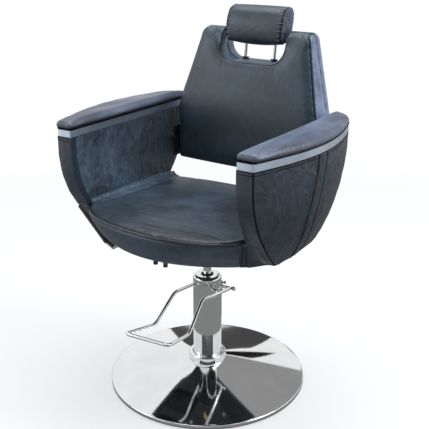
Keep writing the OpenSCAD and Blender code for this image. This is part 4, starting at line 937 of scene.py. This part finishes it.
def seat_plan(slack, front_in, rear_in, behind):
    """The cushion's outline, over the apron or behind it, drawn in by distances at its sides and ends."""
    half = cushion_half - slack
    xs = half * np.sin(np.linspace(-math.pi / 2, math.pi / 2, 110))
    front = [(x, (apron_back_y(x) if behind else seat_front_y(x) + round_in(seat_corner_r, half - abs(x)))
              + front_in) for x in xs]
    rear = [(x, seat_rear_y(x) - rear_in) for x in xs[::-1]]
    along = np.linspace(0.0, 1.0, 62)[1:-1]
    right = [(half, lerp(front[-1][1], rear[0][1], s)) for s in along]
    left = [(-half, lerp(rear[-1][1], front[0][1], s)) for s in along]
    return front + right + rear + left


seat_rings = [[(x, y, board_top + seat_gap) for x, y in seat_plan(0.005, 0.004, 0.004, True)],
              [(x, y, board_top + 0.005) for x, y in seat_plan(seat_slack, 0.002, 0.001, True)]]
for behind, inset, drop in ((True, 0.0015, 0.015), (False, 0.01, 0.012), (False, 0.0035, 0.011),
                            (False, 0.0, 0.0085), (False, -0.001, 0.004), (False, -0.0004, 0.0)):
    seat_rings.append([(x, y, min(apron_top + seat_gap, seat_top_z(x, y) - seat_edge) - drop)
                       for x, y in seat_plan(seat_slack, inset, 0.0015, behind)])
edge = seat_plan(0.0015, 0.0008, 0.001, False)
for share, drop in ((0.998, 0.0037), (0.99, 0.0027), (0.97, 0.0021), (0.94, 0.0015), (0.8, 0.0015),
                    (0.55, 0.0015), (0.3, 0.0015)):
    ring = [(x * share, lerp(seat_middle_y, y, share)) for x, y in edge]
    seat_rings.append([(x, y, seat_top_z(x, y) - drop) for x, y in ring])


def seat_painted_sheen(look, mask):
    """Painted sheen: lighter toward the rear and in broad blotches."""
    return 0.25 * mask + 0.25 * look.noise(6.0).over(0.46, 0.64) + 0.55 * look.along("Y").over(0.08, 0.2)


seat_leather = leather("leather_seat", (0.35, 1.3, 1.0), 0.003, crease_scale=34.0, wear_and_sheen_tint=(2.9, 2.9, 2.8),
                       shade=seat_painted_sheen)
seat_mesh = swollen(skin("seat", seat_rings), 0.005, 3.5, 0.005,
                    lambda p: p[2] < apron_top - 0.014 and abs(p[0]) > 0.2 or p[2] < 0.53)
for back_of, width, depth, cord in ((0.0075, 0.0018, 0.0016, 0.0011), (0.0125, 0.0016, 0.0006, 0.0)):
    row = [(x, seat_front_y(x) + back_of + round_in(seat_corner_r, cushion_half - abs(x)), seat_top + 0.001)
           for x in np.linspace(0.004 - cushion_half, cushion_half - 0.004, 160)]
    sewn("seat", seat_mesh, row, width, depth, cord)
seat = put("seat_cushion_padded", seat_mesh, seat_leather, "seat", "upholstery", "seat_cushion", crease=180)

fold_x, fold_w, fold_h, fold_wider, fold_higher = lining_x - 0.001, 0.016, 0.011, 0.026, 0.012
fold_stitches = ((4, 9, 0.35), (4, 9, 0.62))


def fold_section(side, y):
    """The soft fold between an arm's lining and the seat, hollow on top and wider toward the rear."""
    share = clamp01((y + seat_front) / (seat_front + seat_rear))
    end = 0.2 + 0.8 * clamp01((1 - share) / 0.2) ** 0.7
    w, h = (fold_w + fold_wider * share) * end, (fold_h + fold_higher * share) * end
    base = seat_top_z(cushion_half, y) + 0.0002
    top = rounded(fold_x, base, w, h, quarter(12)[::-1])
    under = [(fold_x - w, base - 0.004), (fold_x - 0.5 * w, base - 0.005), (fold_x, base - 0.006)]
    return [(side * x, y, z) for x, z in top + under]


fold_meshes = []
fold_ys = np.linspace(seat_front_y(cushion_half - 0.01) + 0.016, seat_rear_y(cushion_half) - 0.002, 90)
for side in (-1, 1):
    fold = [fold_section(side, y) for y in fold_ys]
    fold_meshes.append(skin("fold", fold))
    for first, last, share in fold_stitches:
        row = [Vector(ring[first]).lerp(Vector(ring[last]), share) for ring in fold]
        seams["seat"].append((0.0, [p + n * 0.0002 for p, n in on_surface(fold_meshes[-1], row)]))
fold_mesh = joined("folds", fold_meshes)
rumple(fold_mesh, 0.0008, (30.0, 60.0, 30.0), 5.0)
fold_leather = leather("leather_fold", (0.6, 1.6, 1.0), 0.0022, (1.9, 1.9, 1.9), 44.0, 0.35, (3.4, 3.4, 3.4))
put("seat_side_folds", fold_mesh, fold_leather, "seat", "upholstery", crease=60)


# Front apron
# A padded strip of leatherette under the seat's front edge, between the arms' bands. Its top is rolled in
# under the seat's lip, and a black cord hems its foot.
apron_leather = leather("leather_apron", (1.0, 1.0, 0.5), 0.0014, (1.45, 1.65, 1.75), 30.0)
apron_edge_r, apron_lip_r, apron_bulge, apron_end_r = 0.006, 0.012, 0.003, 0.0008
hem_half, hem_cord_r = 0.234, 0.0016


def apron_section(across):
    rows = [(apron_side(apron_z + s * apron_h) * across, s) for s in np.linspace(0.0, 1.0, 30)]
    section = [(x, apron_back_y(x) - (0.002 if s in (0.0, 1.0) else 0.0), apron_z + s * apron_h)
               for x, s in rows[::6] + rows[-1:]]
    for x, s in rows[::-1]:
        z = apron_z + s * apron_h
        drawn = (round_in(apron_edge_r, s * apron_h) + round_in(apron_lip_r, (1 - s) * apron_h)
                 + round_in(apron_end_r, (1 - abs(across)) * apron_half))
        section.append((x, apron_y(x, z) + drawn - apron_bulge * math.sin(math.pi * s), z))
    return section


apron_mesh = skin("apron", [apron_section(a) for a in spaced([-1, -0.985, 0.985, 1], (6, 150, 6))])
apron = put("front_apron_padded", apron_mesh, apron_leather, "seat", "upholstery", "front_apron", crease=60)
hem = [Vector((x, apron_foot_y(x) + apron_edge_r - 0.001, apron_z + 0.0004))
       for x in np.linspace(-hem_half, hem_half, 120)]
seams["seat"].append((hem_cord_r, hem))


# Seat's underside
# A plywood board with a black dust cloth stapled under it, on two black steel rails and the mounting plate.
wood = Look("plywood_birch", (0.42, 0.3, 0.17), 0.6)
grain = wood.noise(4.0, 5.0, wood.stretched((3.0, 40.0, 8.0)), 0.8)
wood.tint(grain.over(0.3, 0.7), (0.36, 0.25, 0.14), (0.52, 0.39, 0.24))
wood.bump(grain, 0.0003)
dust_cloth = finish("dust_cloth_black", (0.01, 0.01, 0.011), 0.85, 0.0, (0.007, 0.007, 0.008),
                    (0.016, 0.016, 0.017), (12.0, 4.0), pits=(0.0003, 500.0))
black_metal = finish("powder_coated_steel", (0.014, 0.014, 0.015), 0.42, 0.0, (0.011, 0.011, 0.012),
                     (0.022, 0.022, 0.024), (20.0, 4.0), (0.36, 0.2, 30.0, 3.0), (0.00012, 700.0, 3.0))
black_plastic = finish("moulded_plastic_black", (0.012, 0.012, 0.013), 0.38, 0.0, (0.009, 0.009, 0.01),
                       (0.018, 0.018, 0.02), (16.0, 3.0), (0.32, 0.2, 45.0, 3.0), (0.00006, 1100.0))
screws = Look("screws_black_capped", (0.4, 0.4, 0.42), 0.35)
shank = screws.along("Z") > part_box("clamp_screws")[0].z + 0.01
screws.tint(shank, (0.008, 0.008, 0.009), (0.3, 0.31, 0.33))
screws.feed("Metallic", shank)
dress(dust_cloth, "seat_board")
dress(black_metal, "seat_rails", "mounting_plate", "clamp_bracket", "lever_bracket", "hinge_plates",
      "recline_crank", "gas_tube")
dress(screws, "clamp_screws")
dress(steel, "plate_bolts", "lever_pin", "lever_bar", "arm_bolts", "gas_rod")
dress(black_plastic, "lever_grip")
dress(wood, "arm_panel_left", "arm_panel_right", "arm_board_left", "arm_board_right", "back_board")
dress(brass, "hinge_bushes")


# Back
# Foam on a board under one leatherette cover, bent back above the arms, with a rounded notch for the
# headrest. The front panel turns over the top, and a gusset is sewn in at each side.
back_z, bend_z, back_top, bend_soft = 0.622, 0.8025, 1.0385, 0.055
back_y, back_lean = 0.187, math.radians(14.5)
back_t, back_top_t = 0.1, 0.064
back_half, back_top_half = 0.248, 0.187
back_edge_r, back_foot_r, back_corner, back_crown = 0.02, 0.012, 0.014, 0.007
cover_t = 0.026
notch_half, notch_z, notch_r, notch_cut_y = 0.108, 0.9465, 0.05, (0.1, 0.45)
back_slack, gusset_slack, back_hold = 0.003, 0.0015, 0.012


def back_share(z):
    return clamp01((z - bend_z) / (back_top - bend_z))


def back_front(z):
    """The front face, upright below the bend and leaning above it, with a soft turn between."""
    up = z - bend_z
    turned = (up + bend_soft) ** 2 / (4 * bend_soft) if abs(up) < bend_soft else max(0.0, up)
    return back_y + math.tan(back_lean) * turned


def back_rear(z):
    return back_y + math.tan(back_lean) * max(0.0, z - bend_z) + lerp(back_t, back_top_t, back_share(z))


def back_side(z):
    return lerp(back_half, back_top_half, back_share(z))


def back_in(z):
    return round_in(back_edge_r, back_top - z) + round_in(back_foot_r, z - back_z)


def back_seam_y(z):
    """Where the cushion meets the rear cover, behind the board."""
    return back_rear(z) - cover_t - seat_gap


def back_heights(count):
    ends = [back_foot_r * (1 - math.cos(a)) for a in quarter(6, 0.12)]
    tops = [back_edge_r * (1 - math.cos(a)) for a in quarter(8, 0.12)[::-1]]
    between = list(np.linspace(back_z + back_foot_r, back_top - back_edge_r, count))[1:-1]
    return [back_z + d for d in ends] + between + [back_top - d for d in tops]


def mirror_ring(z, right, front, rear):
    """A ring at one height, from its right side and the rows of points along its front and its rear."""
    return [(x, y, z) for x, y in [(-x, y) for x, y in right[::-1]] + front + right + rear]


def cushion_section(z):
    d = back_in(z)
    half, rear = back_side(z) - d / 2, back_seam_y(z)
    front = min(back_front(z) + d + back_slack, rear - 0.004)
    crown = back_crown * (1 - 0.6 * back_share(z))
    r = min(back_corner, (rear - front) / 2)
    side = [(half, lerp(front + r, rear, s)) for s in np.linspace(0, 1, 9)[1:]]
    right = [(x - gusset_slack * (1 - clamp01((y - front) / (rear - front)) ** 3), y)
             for x, y in rounded(half, front, r, r, quarter(7)) + side]
    middle = [(x, front - crown * (1 - (x / half) ** 2)) for x in np.linspace(r - half, half - r, 44)[1:-1]]
    return mirror_ring(z, right, middle, [(x, rear) for x in np.linspace(half, -half, 44)[1:-1]])


def notch_outline(grow, steps=14):
    """Outline of the notch for the headrest, from its top left over its floor to its top right."""
    r, half, high = notch_r - grow, notch_half + grow, back_top + 0.03
    turn = rounded(half, notch_z - grow, r, r, quarter(steps))
    return [(-half, high)] + [(-x, z) for x, z in turn[::-1]] + turn + [(half, high)]


def notched(mesh, grow):
    """Cuts the headrest's notch out of a mesh."""
    outline = notch_outline(grow)
    cutter = linked("cutter", skin("cutter", [[(x, y, z) for x, z in outline] for y in notch_cut_y]))
    form = linked("uncut", mesh)
    cut = form.modifiers.new("notch", "BOOLEAN")
    cut.operation, cut.object, cut.solver = "DIFFERENCE", cutter, "EXACT"
    result = settled(form)
    for made in (cutter, form):
        bpy.data.objects.remove(made)
    return result


def back_panel(face):
    """The cushion's panel that a face is in: its front, a gusset or the notch."""
    x, y, z = abs(face.center.x), face.center.y - back_front(face.center.z), face.center.z
    if x > back_side(z) - back_in(z) / 2 - 0.006 and y > 0.004:
        return 1
    return 2 if notch_z - 0.012 < z < back_top - 0.012 and x < notch_half + 0.004 and y > 0.008 else 0


back_leather = leather("leather_back", (2.4, 1.0, 0.8), 0.0005, (1.75, 1.9, 1.75), 60.0, 0.1,
                       (1.25, 1.42, 1.38))
# The gussets and the cover's sides are the back's leatherette painted far lighter: painted sheen where light
# grazes the sides.
gusset_sheen_leather = leather("leather_gusset_painted_sheen", (1.0, 1.0, 0.5), 0.0016, (8.2, 7.0, 7.4), 16.0, 0.1)
# The notch's lining is the same leatherette painted much lighter: a painted highlight in the recess.
notch_highlight_leather = leather("leather_notch_painted_highlight", (1.0, 1.0, 1.0), 0.001, (7.0, 7.0, 7.0), 20.0)
back_mesh = notched(skin("back", [cushion_section(z) for z in back_heights(44)]), 0.0006)
back_mesh = swollen(back_mesh, 0.005, 4.0, 0.0045, lambda p: p[1] > back_seam_y(p[2]) - back_hold, 3)
seam_line = [(back_side(z) - back_in(z) / 2 - 0.004, back_front(z) + back_in(z) + 0.003, z)
             for z in np.linspace(back_z + 0.004, back_top - 0.02, 90)]
top_x, top_y, top_rear_y = back_top_half - 0.011, seam_line[-1][1], back_seam_y(back_top) - 0.002
seam_line += [(top_x, lerp(top_y, top_rear_y, s), back_top - 0.004) for s in np.linspace(0.15, 1.0, 14)]
for way in (1, -1):
    sewn("back", back_mesh, [(way * x, y, z) for x, y, z in seam_line], 0.0022, 0.003, 0.001)
notch_line = [(x, back_front(z) + 0.004, z) for x, z in notch_outline(0.004, 20) if z < back_top]
sewn("back", back_mesh, notch_line, 0.0014, 0.0018, 0.001)
back = put("back_cushion_padded", back_mesh, back_leather, "back", "upholstery", "back_cushion", crease=180)
panelled(back_mesh, (gusset_sheen_leather, notch_highlight_leather), back_panel)


# Back cover
# A moulded shell padded with thin foam and covered in the same leatherette. It closes the back from behind
# and holds the sleeves of the headrest's posts.
cover_lap, cover_front_in, cover_corner, cover_crown = 0.004, 0.0012, 0.016, 0.002


def cover_section(z):
    d = back_in(z)
    half, front = back_side(z) - d / 2, back_rear(z) - cover_t - cover_lap
    rear = max(back_rear(z) - d, front + 0.004)
    r = min(cover_corner, (rear - front) * 0.8)
    right = [(half - cover_front_in, front), (half, front + cover_front_in)]
    right += [(half, lerp(front + cover_front_in, rear - r, s)) for s in (0.35, 0.7)]
    right += rounded(half, rear, r, -r, quarter(8)[::-1])
    ahead = [(x, front) for x in np.linspace(-half, half, 44)[1:-1]]
    behind = np.linspace(half - r, r - half, 44)[1:-1]
    return mirror_ring(z, right, ahead, [(x, rear + cover_crown * (1 - (x / half) ** 2)) for x in behind])


def cover_panel(face):
    """The cover's panel that a face is in: its rear, a side or the notch."""
    x, z = abs(face.center.x), face.center.z
    if x < notch_half + 0.002 and z > notch_z - 0.002 and abs(face.normal.y) < 0.6:
        return 2
    return 1 if abs(face.normal.x) > 0.6 else 0


cover_mesh = notched(skin("cover", [cover_section(z) for z in back_heights(60)]), 0.0)
rumple(cover_mesh, 0.0006, (9.0, 9.0, 5.0), 3.0, lambda p: p.y > back_rear(p.z) - 0.004)
put("back_cover_shell", cover_mesh, back_leather, "back", "upholstery", "back_cover", crease=40)
# Its sides take the gussets' painted sheen, and its notch the notch's painted highlight.
panelled(cover_mesh, (gusset_sheen_leather, notch_highlight_leather), cover_panel)


# Headrest
# A foam roll under one wrapped panel, sewn to an oval panel at each end, where the leatherette puckers. Two
# chromed posts carry it in plastic sleeves.
post_lean, post_half, post_r = math.radians(7.5), 0.05, 0.005
head_half, head_z, head_h, head_t, head_over = 0.097, 1.0005, 0.107, 0.07, 0.014
head_y = back_front(notch_z) + head_over
head_end_r, head_end_draw, head_end_in, head_sag, head_taper = 0.007, 0.09, 0.0035, 0.005, 0.07
head_under, head_seam_share, head_bow, head_bow_half = 0.03, 0.955, 0.02, 0.088
pucker_h, pucker_in, pucker_w = 0.0009, 0.006, 0.01
profile_shares = [(0.1, 0.03), (0.35, -0.02), (0.62, -0.01), (0.82, 0.08), (0.95, 0.25), (1.03, 0.45),
                  (1.06, 0.65), (1.03, 0.82), (0.92, 0.94), (0.72, 1), (0.48, 1), (0.27, 0.95), (0.12, 0.84),
                  (0.03, 0.68), (-0.02, 0.5), (-0.03, 0.3), (0.0, 0.13)]


def rounded_loop(points, steps):
    """A closed smooth curve through points."""
    n, loop = len(points), []
    for i in range(n):
        a, b, c, d = (np.array(points[(i + k) % n], float) for k in (-1, 0, 1, 2))
        for t in np.linspace(0, 1, steps, endpoint=False):
            loop.append(0.5 * (2 * b + (c - a) * t + (2 * a - 5 * b + 4 * c - d) * t * t
                               + (3 * b - a - 3 * c + d) * t ** 3))
    return loop


head_loop = rounded_loop(profile_shares, 6)
head_middle = np.mean(head_loop, axis=0)


def head_ring(x, scale):
    ring = []
    for w, v in head_loop:
        w, v = head_middle + (np.array((w, v)) - head_middle) * scale
        ring.append((x, head_y + w * head_t + math.tan(post_lean) * v * head_h, head_z + v * head_h))
    return ring


head_stations = rounded(head_half, 1, head_end_r, -head_end_draw, quarter(7))
head_stations += [(head_half, 0.8), (head_half + 0.001, 0.6), (head_half + 0.0015, 0.35)]
straight = [(x, 1.0 - head_bow * (abs(x) / head_half) ** 4)
            for x in np.linspace(-head_bow_half, head_bow_half, 50)]
stations = [(-x, s) for x, s in head_stations[::-1]] + straight + head_stations
head_mesh = swollen(skin("head", [head_ring(x, s - head_under) for x, s in stations]), 0.004, 3.5, 0.003,
                    lambda p: abs(p[0]) > head_half - 0.004, 3)
head_leather = leather("leather_headrest", (1.0, 1.0, 1.0), 0.0012, (0.95, 1.05, 1.08), 40.0)
# The end panels are the roll's leatherette painted lighter: painted light on the ends.
head_end_light_leather = leather("leather_headrest_end_painted_light", (1.0, 1.0, 1.0), 0.005, (2.6, 2.4, 2.6), 50.0)
head_center = Vector(head_ring(0.0, 0.0)[0])
for vertex, normal in [(v, v.normal.copy()) for v in head_mesh.vertices]:
    p = vertex.co
    around = math.atan2(p.z - head_center.z, p.y - head_center.y)
    low_down = clamp01((head_z + 0.35 * head_h - p.z) / (0.35 * head_h)) ** 2
    p.z -= head_sag * low_down * (1 - (p.x / head_half) ** 2)
    p.x *= 1 - head_taper * low_down
    near = math.exp(-((abs(p.x) - (head_half - pucker_in)) / pucker_w) ** 2)
    waves = math.sin(26 * around + 2.5 * math.sin(3 * around)) + 0.6 * math.sin(41 * around + 1.7)
    vertex.co = p + normal * pucker_h * near * waves
for side in (-1, 1):
    ring = head_ring(side * (head_half - head_end_in), head_seam_share)
    sewn("headrest", head_mesh, ring + ring[:1], 0.002, 0.0026, 0.001)
headrest = put("headrest_roll", head_mesh, head_leather, "headrest", "upholstery", "headrest_pad", crease=180)
panelled(head_mesh, (head_end_light_leather,), lambda face: int(abs(face.center.x) > head_half - head_end_in))

post_low, post_high = 0.078, 0.132
post_outline = [(0.0, -post_low), (post_r - ease_r, -post_low), (post_r, -post_low + ease_r),
                (post_r, post_high - ease_r), (post_r - ease_r, post_high), (0.0, post_high)]
post_places = [Matrix.Translation((side * post_half, back_rear(notch_z) - 0.0155, notch_z))
               @ Matrix.Rotation(-post_lean, 4, "X") for side in (-1, 1)]
put("headrest_posts_chrome", lathed_at(post_places, "posts", post_outline), chrome, "headrest", "chrome",
    "headrest_posts")
dress(black_plastic, "post_sleeves")


# Seams and stitches
# Thread lies in every seam's groove, and rows of top stitching hold the seam allowance flat beside it.
def stitch_tree():
    """Node tree that lays stitches of thread at even steps along the edges of a mesh."""
    tree = bpy.data.node_groups.new("stitches", "GeometryNodeTree")
    kinds = {"Line": "Geometry", "Step": "Float", "Length": "Float", "Thickness": "Float",
             "Thread": "Material"}
    for name, kind in kinds.items():
        tree.interface.new_socket(name, in_out="INPUT", socket_type=f"NodeSocket{kind}")
    tree.interface.new_socket("Stitches", in_out="OUTPUT", socket_type="NodeSocketGeometry")
    given = {name: node(tree, "NodeGroupInput", {}, name) for name in kinds}
    curve = node(tree, "GeometryNodeMeshToCurve", {"Mesh": given["Line"]})
    steps = {"Curve": curve, "Length": given["Step"]}
    points = node(tree, "GeometryNodeCurveToPoints", steps, "Points", mode="LENGTH")
    turns = Wire(tree, points.socket.node.outputs["Rotation"])
    bead = node(tree, "GeometryNodeMeshUVSphere", {"Segments": 8, "Rings": 6, "Radius": 0.5}, "Mesh")
    size = node(tree, "CombineXYZ", {"X": given["Thickness"], "Y": given["Thickness"], "Z": given["Length"]})
    places = {"Points": points, "Instance": bead, "Rotation": turns, "Scale": size}
    laid = node(tree, "GeometryNodeInstanceOnPoints", places)
    real = node(tree, "GeometryNodeRealizeInstances", {"Geometry": laid})
    smooth = node(tree, "GeometryNodeSetShadeSmooth", {"Geometry": real})
    done = node(tree, "GeometryNodeSetMaterial", {"Geometry": smooth, "Material": given["Thread"]})
    node(tree, "NodeGroupOutput", {"Stitches": done})
    return tree


# This dark thread also makes the black cords that paint shadow in the pleats and round the arm pads' feet.
thread = Look("thread_dark_and_painted_shadow", (0.003, 0.004, 0.005), 0.9, 0.0, 0.05)
thread.tint(thread.noise(300.0), (0.002, 0.0025, 0.003), (0.005, 0.006, 0.0075))
thread.bump(thread.noise(2500.0), 0.0001)
sewing = {"Step": 0.006, "Length": 0.0045, "Thickness": 0.001, "Thread": thread.material}
tree = stitch_tree()
for body, lines in seams.items():
    rows = bmesh.new()
    for path in [path for cord_r, path in lines if not cord_r]:
        verts = [rows.verts.new(p) for p in path]
        for a, b in zip(verts, verts[1:]):
            rows.edges.new((a, b))
    if rows.verts:
        line = linked("rows", made_mesh("rows", rows))
        stitches = line.modifiers.new("stitches", "NODES")
        stitches.node_group = tree
        for socket in tree.interface.items_tree:
            if socket.name in sewing:
                stitches[socket.identifier] = sewing[socket.name]
        put(f"stitches_{body}", settled(line), thread, body, "upholstery", crease=180)
        bpy.data.objects.remove(line)
    # The seat's cords include those black cords of painted shadow.
    cords = [swept("cord", path, cord_r, 8) for cord_r, path in lines if cord_r]
    put(f"thread_{body}", joined("cords", cords), thread, body, "upholstery", crease=180)
